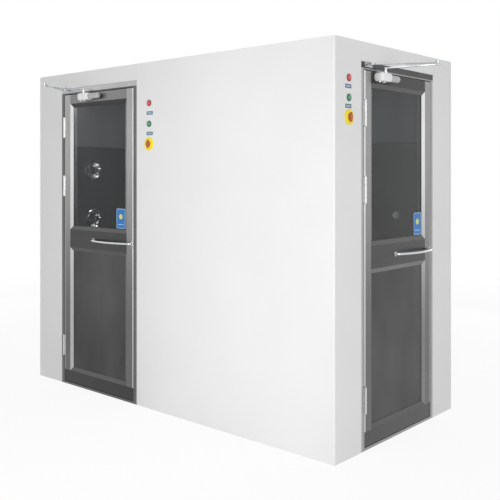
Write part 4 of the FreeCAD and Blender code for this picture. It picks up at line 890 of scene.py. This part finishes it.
def buildFloor():
    # a pale floor that keeps the object's shadow and fades to the white background
    bm = bmesh.new()
    bmesh.ops.create_grid(bm, x_segments=1, y_segments=1, size=studio["floorSize"])
    floor = meshObject("studioFloor", bm, [], False)
    mat, tree, shader = startMaterial("studioFloorWhite")
    setInputs(shader, {"Base Color": srgb(studio["floorColour"]), "Roughness": studio["floorRoughness"],
                       "Specular IOR Level": 0.0})
    glow = addNode(tree, "ShaderNodeEmission", Strength=1.0)
    coords = addNode(tree, "ShaderNodeTexCoord")
    distance = addNode(tree, "ShaderNodeVectorMath", operation="LENGTH")
    tree.links.new(coords.outputs["Object"], distance.inputs[0])
    fade = smoothStep(tree, distance.outputs["Value"], *studio["fade"], low=studio["nearWhite"])
    mixed = addNode(tree, "ShaderNodeMixShader")
    tree.links.new(maths(tree, "MULTIPLY", fade, seenBackground(tree)), mixed.inputs[0])
    tree.links.new(shader.outputs[0], mixed.inputs[1])
    tree.links.new(glow.outputs[0], mixed.inputs[2])
    tree.links.new(mixed.outputs[0], tree.nodes["Material Output"].inputs["Surface"])
    floor.data.materials.append(mat)
    floor.location.z = -studio["floorDrop"]


def buildWorld():
    world = bpy.data.worlds.new("studioWorld")
    world.use_nodes = True
    tree = world.node_tree
    background = tree.nodes["Background"]
    background.inputs["Color"].default_value = (1, 1, 1, 1)
    level = tree.nodes.new("ShaderNodeMapRange")
    setInputs(level, {"To Min": studio["worldLevel"], "To Max": studio["seenLevel"]})
    tree.links.new(seenBackground(tree), level.inputs["Value"])
    tree.links.new(level.outputs["Result"], background.inputs["Strength"])
    bpy.context.scene.world = world


# Soft lamps: where each stands and what it points at in m, its width and height, its power in W
softLamps = {
    "frontKey": ((1.0, -3.14, 1.4), (0.8, 0, 1.2), (1.2, 2.6), 34.0),
    "rightFill": ((5.5, -1.6, 1.8), (1.2, -0.2, 1.1), (1.6, 2.6), 57.0),
    "backFill": ((0.2, 3.9, 1.5), (0, 0.6, 1.1), (2.4, 2.6), 22.0),
    "leftFill": ((-4.5, 0.2, 1.5), (-1.2, 0, 1.1), (2.0, 2.6), 22.0),
    "topFill": ((0, 0.1, 5.0), (0, 0, 2.1), (3.0, 2.0), 13.0),
}


def addSoftLamp(name, at, aim, size, power):
    data = bpy.data.lights.new(name, "AREA")
    data.shape = "RECTANGLE"
    data.size, data.size_y = size
    data.energy = power
    lamp = bpy.data.objects.new(name, data)
    lamp.location = at
    lamp.visible_camera = False
    lamp.rotation_euler = (Vector(aim) - Vector(at)).to_track_quat("-Z", "Y").to_euler()
    bpy.context.scene.collection.objects.link(lamp)


# The camera: its place in m, its line of sight, its lens in mm, its shift in picture widths
view = {
    "at": (3.4408, -3.8360, 1.4610),
    "along": (-0.6773, 0.7357, 0.0),
    "lens": 55.146,
    "sensor": 36,
    "shift": (0.06, -0.154),
    "farthest": 100,
}


def buildCamera():
    data = bpy.data.cameras.new("photoCamera")
    data.lens = view["lens"]
    data.sensor_width = view["sensor"]
    data.shift_x, data.shift_y = view["shift"]
    data.clip_end = view["farthest"]
    camera = bpy.data.objects.new("photoCamera", data)
    camera.location = view["at"]
    camera.rotation_euler = Vector(view["along"]).to_track_quat("-Z", "Y").to_euler()
    bpy.context.scene.collection.objects.link(camera)
    bpy.context.scene.camera = camera


buildFloor()
buildWorld()
for name, values in softLamps.items():
    addSoftLamp(name, *values)
buildCamera()
bpy.context.scene.view_settings.view_transform = "Standard"
print("studio built")
